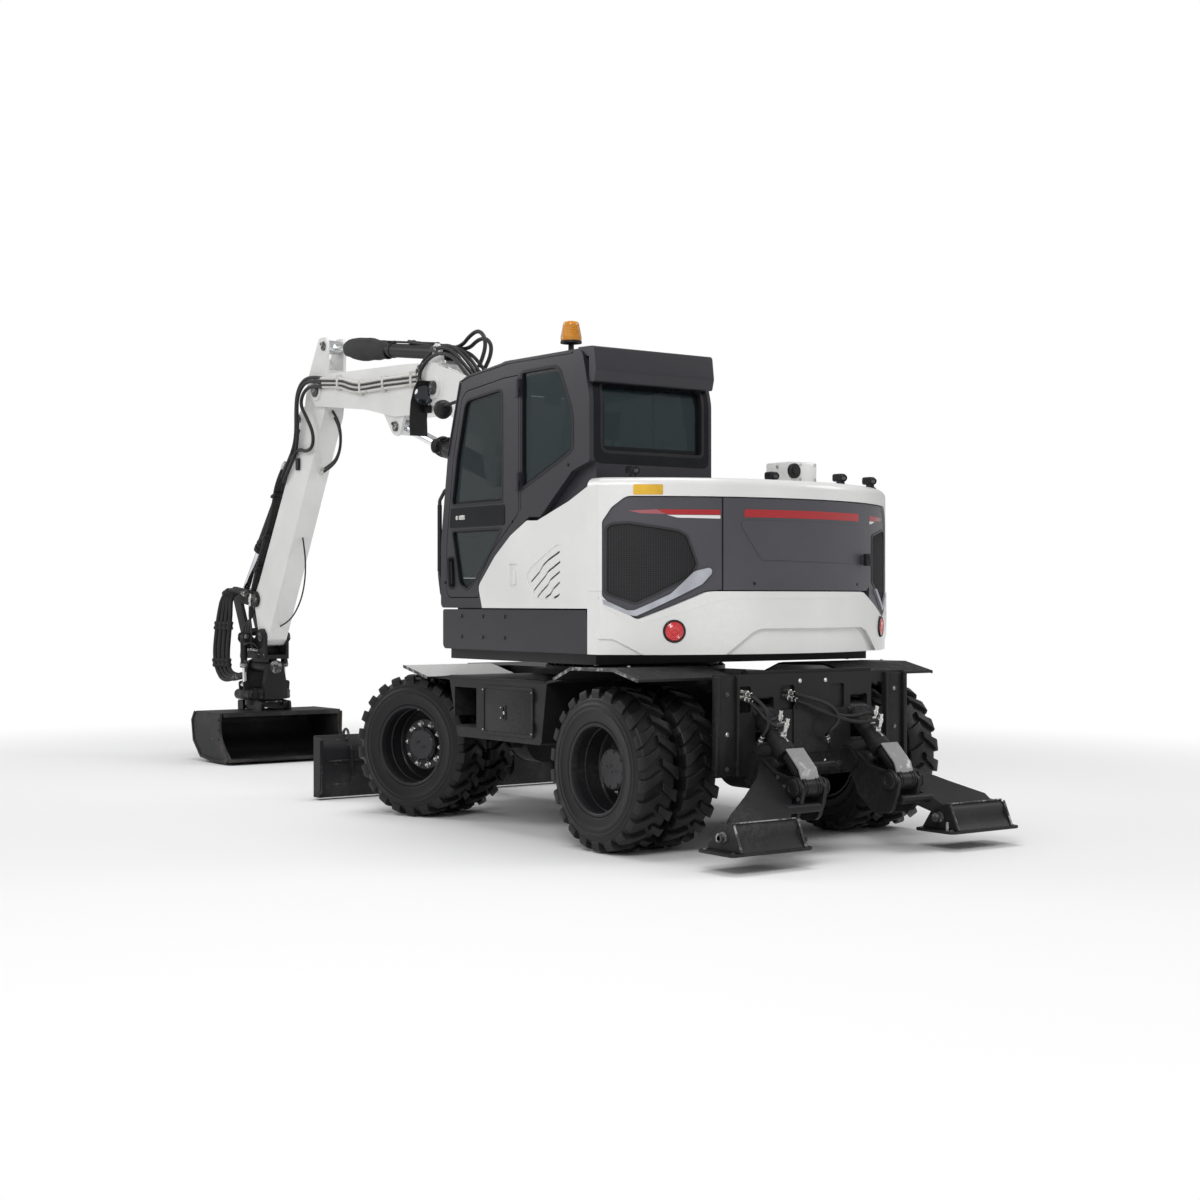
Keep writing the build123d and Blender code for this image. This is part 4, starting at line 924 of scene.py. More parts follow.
def dress_hood():
    """Rounded hood with its mouth cut, and the box on it."""
    rings = [tail_ring(CASTING_TOP + 0.001, SHELL_R, HOUSE_HALF)]
    for index in range(9):
        angle = pi / 2 * index / 8
        inset = HOOD_ROUND * (1 - cos(angle))
        rings.append(tail_ring(
            HOOD_TOP - HOOD_ROUND + HOOD_ROUND * sin(angle), SHELL_R - inset, HOUSE_HALF - inset
        ))
    outer = Form().stack(rings)
    inner = Form().stack([
        tail_ring(z, SHELL_R - HOOD_WALL, HOUSE_HALF - HOOD_WALL, HOUSE_FRONT - HOOD_WALL)
        for z in (CASTING_TOP - 0.01, HOOD_TOP - HOOD_WALL)
    ])
    mouth = Form().sheet(soft(mirrored(OPENING)), on_front(-1.9), 0, 0.67)
    strip = Form().block((-1.9, -1.235, 1.6), (-1.23, 1.235, 1.68), edge=0)
    hood = carved(outer, [inner, mouth, strip])
    hood.block((-1.48, -0.42, HOOD_TOP - 0.005), (-1.23, -0.18, HOOD_TOP + 0.15), edge=0.012)
    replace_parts(hood.piece("rounded_hood", WHITE, "upper", edge=0.004), "engine_shell")


def dress_covers():
    """Corner grilles and rear door on the round tail."""
    grilles = Form()
    panel = on_tail(GRILLE_R)
    for hand, edge, low, hole in (
        (1, DOOR_EDGES[0] + 0.006, 1.66, MESH), (-1, 0.006 - DOOR_EDGES[1], 1.602, MESH_RIGHT)
    ):
        rows = [(edge, low)] + ([(0.68, 1.652, 0.06)] if hand > 0 else [])
        rows += [
            (1.064, 1.477, 0.04), (1.198, 1.574, 0.04), (1.229, 1.622, 0.03), (1.229, 2.088, 0.06),
            (1.186, 2.176, 0.06), (1.118, 2.244, 0.06), (edge, 2.244)
        ]
        outline = soft([(hand * row[0], *row[1:]) for row in rows])
        grilles.sheet(outline, panel, -0.03, 0, step=0.04, hole=soft(hole))
        grilles.sheet(outline, panel, -0.034, -0.0305, step=0.04)
    grilles.piece("corner_grilles", GREY, "upper", edge=0.004)
    cover = on_tail(COVER_R)
    left, right = DOOR_EDGES
    door = Form().sheet((
        (left, 1.657), (left, 2.244), (right, 2.244), (right, 1.69), (-0.735, 1.657)
    ), cover, -0.034, 0, step=0.05)
    door.sheet(soft((
        (0.48, 2.105, 0.04), (0.311, 1.85, 0.04), (-0.5, 1.838, 0.04), (-0.68, 2.09, 0.04)
    )), cover, -0.01, 0.005, step=0.05)
    door.block((-1.69, -0.7, 1.83), (-1.64, -0.66, 1.9), edge=0.004)
    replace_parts(door.piece("grille_door", GREY, "rear_door", edge=0.003), "rear_door")


def dress_side():
    """Louvred side panel, its shadow and the skirts' screws."""
    rows = (
        (0.11, 1.54), (0.16, 1.69, 0.06), (-0.05, 1.89, 0.2), (-0.25, 2.03, 0.2), (-0.45, 2.125, 0.06),
        (-0.575, 2.12, 0.06), (-0.94, 2.232, 0.06), (-1.157, 2.32), (-1.157, 1.54)
    )
    plate = Form().sheet(soft(rows), on_side(1.1655), 0, SIDE_OUT - 1.1655)
    dish = (
        (-0.425, 1.745, 0.06), (-0.5, 1.815, 0.2), (-0.8, 1.955, 0.03), (-0.86, 1.955, 0.03),
        (-0.86, 1.6, 0.04), (-0.575, 1.6, 0.04)
    )
    cuts = [Form().sheet(soft(dish), on_side(SIDE_OUT - 0.006), 0, 0.02)]
    for wave in LOUVRES:
        cuts.append(Form().sheet(slit(wave), on_side(SIDE_OUT - 0.034), 0, 0.05))
    cuts.append(Form().block((-0.33, SIDE_OUT - 0.012, 1.685), (-0.24, SIDE_OUT + 0.01, 1.84), edge=0))
    side = carved(plate, cuts).block((-0.3, SIDE_OUT - 0.014, 1.7), (-0.27, SIDE_OUT - 0.003, 1.79), edge=0.002)
    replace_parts(side.piece("louvred_side", WHITE, "upper", edge=0.003), "side_panel")
    slots = Form()
    for wave in LOUVRES:
        slots.sheet(slit(wave), on_side(SIDE_OUT - 0.0335), 0, 0.02)
    slots.piece("louvre_shadow", SHADE_BLACK, "upper")
    Form().bolts([
        (x, 1.232, z) for x in (0.398, 0.12, -0.16) for z in (1.338, 1.482)
    ], (0, 1, 0), 0.028, high=0.008, washer=False).piece("skirt_heads", DARK, "upper")


def dress_roof():
    """Visor and crown of the cab's roof, grab rail, lamp brackets and door pull."""
    cab = Form()
    visor = (
        (-1.12, 2.99), (-1.175, 2.985, 0.02), (-1.195, 3.06, 0.06), (-1.175, 3.215, 0.03), (-1.0, 3.222),
        (-1.0, 3.19), (-1.12, 3.15)
    )
    cab.sheet(soft(visor), on_side(CAB_IN + 0.02), 0, CAB_OUT - CAB_IN - 0.032)
    cab.sheet(soft((
        (-1.0, 3.19), (-0.95, 3.222, 0.03), (-0.06, 3.232, 0.2), (0.1, 3.19)
    )), on_side(CAB_IN + 0.06), 0, CAB_OUT - CAB_IN - 0.11)
    rail = ((0.64, 1.59), (0.712, 1.64), (0.742, 1.77), (0.742, 2.31), (0.668, 2.38))
    for start, end in zip(rail, rail[1:]):
        cab.rod((start[0], 1.205, start[1]), (end[0], 1.205, end[1]), 0.013)
    for y in (0.38, 1.06):
        cab.block((0.4, y - 0.02, 3.085), (0.48, y + 0.02, 3.12), edge=0.004)
    cab.piece("roof_visor", DARK, "upper", edge=0.006)
    pull = Form().rod((0.545, CAB_OUT + 0.022, 1.69), (0.56, CAB_OUT + 0.022, 1.89), 0.011)
    for x, z in ((0.546, 1.7), (0.559, 1.88)):
        pull.rod((x, CAB_OUT - 0.005, z), (x, CAB_OUT + 0.022, z), 0.011)
    pull.piece("door_pull", GASKET, "cab_door")


def dress_tail():
    """Meshes with painted shade sheets behind them, trim bars, stripes, lamps, plate and fittings round the
    tail.
    """
    for place, outline in (("left", MESH), ("right", MESH_RIGHT)):
        woven_mesh(outline, 0.0125, 0.0014, on_tail(GRILLE_R - 0.01)).piece(
            f"grille_mesh_{place}", MESH_BLACK, "upper"
        )
        # The dark sheet behind each mesh is painted shade for the dark space inside the grille
        Form().sheet(
            spread(outline, 0.003), on_tail(GRILLE_R - 0.0155), 0, 0.001, step=0.05
        ).piece(f"grille_shade_sheet_{place}", SHADE_BLACK, "upper")
        Form().sheet(
            spread(outline, 0.012), on_tail(GRILLE_R - 0.002), 0, 0.006, step=0.04, hole=spread(outline, -0.002)
        ).piece(f"grille_rim_{place}", MESH_BLACK, "upper", edge=0.002)
    trim = Form().sheet(soft(TRIM), on_tail(GRILLE_R - 0.004), 0, 0.02, step=0.03)
    trim.sheet(soft((
        (-0.845, 1.7, 0.02), (-0.9, 1.64), (-1.064, 1.515, 0.03), (-1.205, 1.615), (-1.205, 1.64),
        (-1.064, 1.548, 0.03), (-0.905, 1.672)
    )), on_tail(GRILLE_R - 0.004), 0, 0.02, step=0.03)
    trim.piece("trim_bars", SILVER, "upper", edge=0.005)
    door_red = ((0.431, 2.122, 0.006), (0.431, 2.172, 0.012), (-0.616, 2.172, 0.012), (-0.616, 2.122, 0.006))
    Form().sheet(soft(door_red), on_tail(COVER_R), *STRIPE, step=0.05).piece("door_stripe", RED, "rear_door")
    corner = on_tail(GRILLE_R)
    for name, finish, stripe in (
        ("red", RED, lambda inner: ((inner, 2.134), (inner, 2.166), (0.95, 2.166), (0.9, 2.134))),
        ("pale", PALE_RED, lambda inner: ((0.905, 2.136), (0.955, 2.166), (1.1, 2.158), (1.04, 2.141))),
        ("white", WHITE, lambda inner: ((inner, 2.11), (inner, 2.131), (0.9, 2.131), (0.84, 2.114)))
    ):
        stripes = Form()
        for hand, inner in ((1, 0.585), (-1, 0.8)):
            stripes.sheet([(hand * u, v) for u, v in stripe(inner)], corner, *STRIPE, step=0.04)
        stripes.piece(f"corner_stripes_{name}", finish, "upper")
    lens, ring = Form(), Form()
    for way, rise in tail_lamps():
        spot = way * TAIL_R + rise
        lens.turned(spot, way, (
            (0, 0.06), (0.006, 0.06), (0.009, 0.057), (0.011, 0.05), (0.0095, 0.047), (0.0115, 0.043),
            (0.01, 0.04), (0.0125, 0.034), (0.011, 0.03), (0.013, 0.022), (0.0115, 0.018), (0.013, 0.01),
            (0.013, 0)
        ), 48)
        ring.turned(spot, way, (
            (-0.004, 0.0595), (0.008, 0.0595), (0.01, 0.063), (0.009, 0.068), (0.004, 0.071), (-0.004, 0.071)
        ), 48, loop=True)
    lens.piece("tail_lamp_lenses", RED_LENS, "upper")
    ring.piece("tail_lamp_rings", GASKET, "upper")
    Form().sheet(
        soft(corners(0.93, 2.258, 1.085, 2.322, 0.008)), on_tail(SHELL_R), 0.0005, 0.003, step=0.03
    ).piece("blank_plate", YELLOW, "upper")
    posts, eyes, aim = Form(), Form(), (-1, 0.25, -0.3)
    for x, y in ((-1.33, 1.01), (-1.44, -0.06), (-1.56, -0.56), (-1.43, -0.96)):
        posts.turned((x, y, 2.366), (0, 0, 1), (
            (0, 0.04), (0.006, 0.04), (0.01, 0.03), (0.03, 0.027), (0.034, 0.027)
        ), 28)
        posts.block((x - 0.026, y - 0.031, 2.394), (x + 0.056, y + 0.031, 2.447), edge=0.014, steps=4)
        posts.turned((x - 0.02, y, 2.42), aim, ((0, 0.024), (0.022, 0.024), (0.024, 0.02), (0.018, 0.018)), 28)
        eyes.turned((x - 0.034, y + 0.003, 2.416), aim, (
            (0, 0.0175), (0.004, 0.0165), (0.007, 0.01), (0.008, 0)
        ), 24)
    posts.turned((-1.486, -0.2, 2.455), (-1, 0, 0), (
        (0, 0.05), (0.02, 0.05), (0.026, 0.044), (0.026, 0.03), (0.034, 0.028), (0.036, 0.0)
    ), 32)
    posts.piece("hood_posts", GASKET, "upper")
    eyes.piece("hood_lenses", LENS_GLASS, "upper")
    box = Form().bolts([(-1.36, -0.172, z) for z in (2.4, 2.49)], (0, 1, 0), 0.016)
    box.bolts([(-1.482, y, z) for y in (-0.4, -0.27) for z in (2.4, 2.5)], (-1, 0, 0), 0.016)
    box.piece("hood_box_bolts", ZINC, "upper")
    latch = Form().block((-1.712, -0.706, 1.824), (-1.68, -0.654, 1.906), edge=0.006)
    latch.turned(
        (-1.706, -0.68, 1.885), (-0.93, -0.37, 0), ((0, 0.014), (0.008, 0.014), (0.01, 0.011), (0.01, 0)), 24
    )
    latch.piece("door_latch", GASKET, "rear_door")
    seam = Form()
    for y in (-0.6, 0.36):
        seam.turned(
            (-sqrt(COVER_R ** 2 - y ** 2) + 0.001, y, 1.7), (-cos(asin(y / COVER_R)), y / COVER_R, 0),
            ((0, 0.012), (0.003, 0.011), (0.004, 0.007), (0.002, 0)), 20
        )
    seam.piece("door_plugs", GASKET, "rear_door")


SEAT_Y = 0.72
BEACON = (-0.52, 0.93, 3.228)
REAR_FACE = -1.14
# Heights at which the cab's rear face bends forward
ROOF_BENDS = (2.861, 2.9, 2.938)
PANES = {
    "door_top": (
        (0.56, 2.26, 0.04), (0.49, 2.6, 0.3), (0.37, 3.0, 0.1), (-0.12, 3.04, 0.06), (-0.12, 2.26, 0.02)
    ),
    "door_low": (
        (0.555, 2.09, 0.03), (0.45, 1.7, 0.08), (0.34, 1.66, 0.06), (0.24, 1.72, 0.08), (-0.13, 2.09, 0.03)
    ),
    "side": (
        (-0.35, 2.33, 0.03), (-0.35, 3.13, 0.03), (-0.8, 3.13, 0.12), (-0.96, 2.8, 0.3), (-0.96, 2.56, 0.08),
        (-0.76, 2.48, 0.04)
    ),
    "right": (
        (0.56, 2.26, 0.04), (0.49, 2.6, 0.3), (0.37, 3.0, 0.1), (-0.85, 3.06, 0.06), (-0.96, 2.56, 0.06),
        (-0.2, 2.26, 0.02)
    ),
    "rear": ((0.29, 2.54, 0.04), (0.29, 3.0, 0.06), (1.13, 3.0, 0.06), (1.13, 2.54, 0.06))
}


def on_rear(u, v, w):
    """Places (y, z) rows on the cab's rear face, which leans forward near the roof."""
    lean = max(0.0, v - ROOF_BENDS[0])
    ahead = lean ** 2 / 0.6 if lean < 0.077 else 0.0099 + (lean - 0.077) * 0.267
    return (REAR_FACE + ahead - w, u, v)


def seal(form, rows, place, wide, low, high, **more):
    """Rubber lip round a pane."""
    form.sheet(spread(rows, 0.005), place, low, high, hole=spread(rows, -wide), **more)


def dress_cab():
    """Seals, bands, lamps, mirrors, rails, wipers and roof fittings."""
    side, behind = on_side(CAB_OUT), on_side(CAB_OUT - 0.0155)
    lips = Form()
    for key in ("door_top", "door_low"):
        seal(lips, PANES[key], side, 0.013, -0.014, 0.002)
    lips.piece("door_seals", GASKET, "cab_door", edge=0.002)
    lips = Form()
    seal(lips, PANES["side"], side, 0.014, -0.014, 0.002)
    seal(lips, PANES["right"], on_side(CAB_IN, -1), 0.014, -0.01, 0.002)
    seal(lips, PANES["rear"], on_rear, 0.016, -0.03, 0.003, bends=ROOF_BENDS)
    lips.piece("cab_seals", GASKET, "upper", edge=0.002)
    frit = Form().sheet(
        spread(PANES["rear"], 0.0), lambda u, v, w: (-1.1095 + max(0.0, v - 2.86) * 0.2174 - w, u, v), 0,
        0.0012, hole=spread(PANES["rear"], -0.045), bends=(2.86,)
    )
    frit.sheet(spread(PANES["side"], 0.0), behind, 0, 0.001, hole=spread(PANES["side"], -0.036))
    frit.piece("pane_borders", FRIT, "upper")
    wide = ((0.245, 2.47, 0.05), (0.245, 2.985, 0.02), (1.185, 2.985, 0.02), (1.185, 2.47, 0.06))
    Form().sheet(
        soft(wide), on_rear, 0.0003, 0.0025, hole=spread(PANES["rear"], 0.004), bends=ROOF_BENDS
    ).piece("rear_glass_border", FRIT, "upper", edge=0.001)
    frit = Form()
    for key, wide in (("door_top", 0.03), ("door_low", 0.022)):
        frit.sheet(spread(PANES[key], 0.0), behind, 0, 0.001, hole=spread(PANES[key], -wide))
    frit.piece("door_pane_borders", FRIT, "cab_door")
    band = ((0.572, 2.105, 0.01), (0.556, 2.248, 0.02), (-0.145, 2.248, 0.02), (-0.145, 2.105, 0.02))
    Form().sheet(soft(band), side, 0.0005, 0.004).piece(
        "door_band", FRIT, "cab_door", "black_paint", edge=0.0015
    )
    dish = ((0.585, 1.67, 0.03), (0.602, 1.905, 0.03), (0.52, 1.905, 0.03), (0.505, 1.67, 0.03))
    Form().sheet(soft(dish), side, 0.0003, 0.003).piece(
        "handle_dish", FRIT, "cab_door", "black_paint", edge=0.001
    )
    lock = Form().turned((0.47, CAB_OUT, 2.175), (0, 1, 0), (
        (0.003, 0.016), (0.008, 0.015), (0.01, 0.011), (0.008, 0.008), (0.008, 0)
    ), 28)
    lock.block((0.36, CAB_OUT + 0.003, 2.16), (0.44, CAB_OUT + 0.01, 2.19), edge=0.003)
    lock.piece("door_lock", ZINC, "cab_door")
    gutter = Form()
    line = ((0.6, 2.62), (0.43, 3.135), (0.3, 3.165), (-0.2, 3.205), (-0.95, 3.193))
    gutter.ribbon(line, 0.01, side, 0.0, 0.008)
    gutter.ribbon(((-0.335, 3.12), (-0.335, 2.2)), 0.01, side, 0.0, 0.003)
    gutter.piece("cab_gutter", DARK, "upper", edge=0.003)
    lamps, glasses = Form(), Form()
    for y in (0.38, 1.06):
        lamps.block((0.474, y - 0.063, 3.03), (0.546, y + 0.063, 3.13), edge=0.016, steps=4)
        glasses.block((0.5455, y - 0.05, 3.042), (0.549, y + 0.05, 3.118), edge=0.0016)
    lamps.rod((0.46, 1.17, 3.02), (0.7, 1.19, 2.99), 0.012)
    lamps.turned((0.76, 1.17, 2.97), (-1, 0.2, 0.05), (
        (-0.012, 0.0), (-0.012, 0.055), (0.0, 0.07), (0.03, 0.066), (0.062, 0.04), (0.07, 0.0)
    ), 32)
    lamps.rod((0.6, 1.215, 2.69), (0.7, 1.235, 2.7), 0.009)
    lamps.turned((0.72, 1.235, 2.7), (0.9, 0.4, 0.1), (
        (-0.02, 0.0), (-0.012, 0.04), (0.004, 0.052), (0.024, 0.052), (0.028, 0.046)
    ), 32)
    lamps.rod((0.668, 1.205, 2.38), (0.62, 1.2, 2.395), 0.012)
    lamps.piece("cab_lamps", GASKET, "upper")
    glasses.piece("cab_lamp_lenses", LENS_CLEAR, "upper")
    wiper = Form().turned((0.655, 0.46, 2.16), (1, 0, 0.1), (
        (0, 0.018), (0.03, 0.018), (0.036, 0.014), (0.036, 0)
    ), 20)
    wiper.rod((0.69, 0.46, 2.165), (0.66, 0.6, 2.56), 0.006)
    wiper.rod((0.697, 0.53, 2.2), (0.598, 0.65, 2.83), 0.005)
    wiper.piece("wiper", GASKET, "upper")
    Form().rod((0.742, 1.205, 1.8), (0.742, 1.205, 2.28), 0.0165).piece("rail_grip", GASKET, "upper")
    bolts = Form().bolts([
        (x, CAB_OUT, z) for x, z in ((0.64, 1.72), (-0.24, 2.125), (-0.9, 2.47))
    ], (0, 1, 0), 0.018)
    bolts.piece("cab_bolts", GASKET, "upper")
    post = Form().turned(BEACON, (0, 0, 1), (
        (0, 0.04), (0.004, 0.04), (0.012, 0.026), (0.03, 0.02), (0.085, 0.019), (0.09, 0.04), (0.1, 0.058),
        (0.103, 0.058)
    ), 32)
    post.rod((-0.56, 0.985, 3.225), (-0.53, 0.945, 3.305), 0.006)
    post.piece("beacon_foot", GASKET, "upper")
    glow = Form()
    rows = [(0.104, 0.06), (0.112, 0.069), (0.128, 0.0715)]
    for index in range(8):
        rows += [
            (0.134 + index * 0.011, 0.07 - index * 0.0021), (0.139 + index * 0.011, 0.0715 - index * 0.0021)
        ]
    rows += [(0.228, 0.053), (0.238, 0.046), (0.2425, 0.03), (0.243, 0)]
    glow.turned(BEACON, (0, 0, 1), rows, 40)
    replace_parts(glow.piece("beacon_lens", AMBER, "upper"), "beacon")
    Form().turned(BEACON, (0, 0, 1), (
        (0.094, 0.05), (0.094, 0.0725), (0.108, 0.0725), (0.108, 0.05)
    ), 40).piece("beacon_ring", GASKET, "upper")
    roof = Form()
    hatch = ((-0.82, 0.42, 0.05), (-0.82, 1.02, 0.05), (-0.22, 1.02, 0.05), (-0.22, 0.42, 0.05))
    roof.sheet(soft(hatch), lambda u, v, w: (u, v, 3.2226 + (u + 0.95) * 0.01124 + w), 0, 0.012)
    roof.piece("roof_hatch", DARK, "upper", edge=0.004)


PULL = 0.05


def cushion(name, middle, half, lean, channels=()):
    """Crowned pad: sides pulled in between its corners, piped edge, sewn channels across it."""
    form = Form()
    count = 22
    turn = Matrix.Rotation(lean, 3, "Y")
    grid = {}
    for face in (1, -1):
        for i in range(count + 1):
            for j in range(count + 1):
                u, v = 2 * i / count - 1, 2 * j / count - 1
                edge = max(0.0, (1 - abs(u) ** 5)) ** 0.42 * max(0.0, (1 - abs(v) ** 5)) ** 0.42
                crown = edge * (0.72 + 0.28 * (1 - u * u) * (1 - v * v))
                if face > 0:
                    for spot in channels:
                        crown -= 0.16 * max(0.0, 1 - abs(u - spot) / 0.07) ** 1.5 * edge
                x = u * (1 - PULL * (1 - v * v))
                y = v * (1 - PULL * (1 - u * u))
                if face < 0 and (i in (0, count) or j in (0, count)):
                    grid[face, i, j] = grid[1, i, j]
                    continue
                spot = Vector((x * half[0], y * half[1], face * crown * half[2] * (1.0 if face > 0 else 0.55)))
                grid[face, i, j] = form.mesh.verts.new(Vector(middle) + turn @ spot)
    for face in (1, -1):
        for i in range(count):
            for j in range(count):
                corners = [
                    grid[face, i, j], grid[face, i + 1, j], grid[face, i + 1, j + 1], grid[face, i, j + 1]
                ]
                form.mesh.faces.new(corners if face > 0 else corners[::-1])
    form.piece(name, CLOTH, "upper", angle=180, subdivide=1)
    way = [-1 + 2 * k / 12 for k in range(12)]
    rim = [(a, -1) for a in way] + [(1, a) for a in way] + [(-a, 1) for a in way] + [(-1, -a) for a in way]
    loop = []
    for u, v in rim:
        x, y = u * (1 - PULL * (1 - v * v)), v * (1 - PULL * (1 - u * u))
        loop.append(Vector(middle) + turn @ Vector((x * half[0] * 1.004, y * half[1] * 1.004, 0)))
    placed(f"{name}_piping", tubes(f"{name}_piping", [loop], 0.0045, closed=True), PIPING, "upper")


def furnish_cab():
    """Seat on its bellows base, arm consoles with levers, steering column, screen and floor mat."""
    seat = Form().block((-0.38, SEAT_Y - 0.22, 1.602), (0.12, SEAT_Y + 0.22, 1.64), edge=0.01)
    for step in range(5):
        z = 1.645 + step * 0.032
        seat.block((-0.34, SEAT_Y - 0.19, z), (0.08, SEAT_Y + 0.19, z + 0.026), edge=0.01)
    seat.block((-0.39, SEAT_Y - 0.23, 1.806), (0.11, SEAT_Y + 0.23, 1.88), edge=0.014)
    back = ((-0.33, 1.89, 0.02), (-0.56, 2.62, 0.05), (-0.655, 2.62, 0.04), (-0.47, 1.89, 0.04))
    seat.sheet(soft(back), on_side(SEAT_Y - 0.215), 0, 0.43)
    for hand in (-1, 1):
        seat.rod((-0.6, SEAT_Y + hand * 0.06, 2.56), (-0.64, SEAT_Y + hand * 0.06, 2.72), 0.008)
        console = (
            (-0.26, 1.8, 0.03), (-0.3, 2.13, 0.05), (0.06, 2.18, 0.05), (0.105, 2.08, 0.04), (0.0, 1.8, 0.03)
        )
        seat.sheet(soft(console), on_side(SEAT_Y + hand * 0.307 - 0.042), 0, 0.084)
        seat.block(
            (-0.25, SEAT_Y + hand * 0.262 - 0.035, 1.81), (-0.03, SEAT_Y + hand * 0.262 + 0.035, 1.85),
            edge=0.008
        )
    seat.block((0.4, SEAT_Y - 0.07, 1.602), (0.54, SEAT_Y + 0.07, 1.64), edge=0.012)
    seat.rod((0.475, SEAT_Y, 1.62), (0.375, SEAT_Y, 2.13), 0.045)
    hub = Vector((0.362, SEAT_Y, 2.16))
    tilt = (-0.2, 0, 0.98)
    seat.turned(hub, tilt, ((-0.02, 0.0), (-0.02, 0.045), (0.012, 0.04), (0.016, 0.0)), 32)
    ring = [(0.012 * cos(tau * k / 10), 0.178 + 0.012 * sin(tau * k / 10)) for k in range(10)]
    seat.turned(hub, tilt, ring, 48, loop=True)
    for angle in (0.4, 2.5, 4.7):
        turn = Vector(tilt).to_track_quat("Z", "Y").to_matrix()
        seat.rod(hub, hub + turn @ Vector((0.172 * cos(angle), 0.172 * sin(angle), 0)), 0.009)
    seat.block((0.5, 0.34, 2.16), (0.53, 0.52, 2.36), edge=0.01, turn=Matrix.Rotation(0.5, 3, "Z"))
    seat.rod((0.52, 0.4, 1.95), (0.52, 0.42, 2.18), 0.012)
    seat.block((0.16, 0.31, 1.602), (0.6, 1.12, 1.612), edge=0.003)
    for hand in (-1, 1):
        seat.block(
            (0.42, SEAT_Y + hand * 0.16 - 0.05, 1.615), (0.56, SEAT_Y + hand * 0.16 + 0.05, 1.635), edge=0.006,
            turn=Matrix.Rotation(-0.35, 3, "Y")
        )
    base = seat.piece("seat_frame", GASKET, "upper", edge=0.004)
    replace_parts(base, "cab_interior")
    cushion(
        "seat_cushion", (-0.145, SEAT_Y, 1.945), (0.255, 0.225, 0.075), lean=-0.05, channels=(-0.45, -0.1, 0.25)
    )
    cushion(
        "seat_back", (-0.425, SEAT_Y, 2.3), (0.315, 0.215, 0.085), lean=-1.87 + pi,
        channels=(-0.5, -0.15, 0.2, 0.55)
    )
    cushion("head_rest", (-0.61, SEAT_Y, 2.775), (0.095, 0.125, 0.05), lean=-1.75 + pi)
    for hand, place in ((1, "left"), (-1, "right")):
        cushion(
            f"arm_rest_{place}", (-0.13, SEAT_Y + hand * 0.307, 2.182), (0.15, 0.042, 0.03), lean=-0.13,
        )
        grip = Form()
        foot = Vector((0.055, SEAT_Y + hand * 0.307, 2.15))
        grip.turned(foot, (0.12, 0, 1), (
            (0, 0.034), (0.012, 0.03), (0.022, 0.02), (0.034, 0.012), (0.07, 0.01)
        ), 24)
        grip.turned(foot + Vector((0.008, 0, 0.065)), (0.12, 0, 1), (
            (0, 0.012), (0.02, 0.018), (0.06, 0.02), (0.085, 0.017), (0.1, 0.021), (0.12, 0.02), (0.128, 0)
        ), 24)
        grip.piece(f"lever_{place}", GASKET, "upper")
    aerial = Form().rod((-1.02, 0.62, 2.48), (-1.02, 0.62, 3.02), 0.007)
    aerial.block((-1.035, 0.6, 2.46), (-1.005, 0.64, 2.5), edge=0.005)
    aerial.piece("white_pole", WHITE, "upper")


FENDER_OUT = 1.266
BOX_SIDE = 1.208
REAR_PLATE = -1.886
SHAFT_Z = 0.56
TRACK_ROD = (1.4, 0.545)


def dress_chassis():
    """Grip plates, ribs and edges of the fenders."""
    grip = Form()
    for hand in (1, -1):
        low, high = span(hand, 0.505, FENDER_OUT)
        slope = lambda u, v, w: (u, v, 1.04 + (u - 0.81) * 0.2086 + w)
        grip.sheet(corners(0.815, low, 1.155, high), slope, 0.0003, 0.004)
    grip.piece("front_fender_plates", GRIP, "chassis", edge=0.001)
    ribs = Form()
    for hand in (1, -1):
        low, high = span(hand, 0.51, FENDER_OUT - 0.004)
        for first, count, top in (
            (-1.02, 22, lambda x: 1.16 - (x + 1.0) / 0.46 * 0.005),
            (-1.478, 12, lambda x: 1.165 + (1.46 + x) * 0.2264)
        ):
            for index in range(count):
                x = first - index * 0.0205
                ribs.block(
                    (x - 0.005, low, top(x) - 0.001), (x + 0.005, high, top(x) + 0.0035), edge=0.0015, steps=1
                )
    ribs.piece("rear_fender_ribs", RIB_GREY, "chassis")
    lips = Form()
    for hand in (1, -1):
        place = on_side(hand * FENDER_OUT, hand)
        for run in (((0.812, 1.035), (1.158, 1.107)), (
            (-0.802, 1.079), (-1.0, 1.154), (-1.46, 1.159), (-1.723, 1.099)
        )):
            lips.ribbon(run, 0.022, place, 0, 0.005)
    lips.piece("fender_edges", EDGE_WEAR_AND_HIGHLIGHT, "chassis", edge=0.0015)


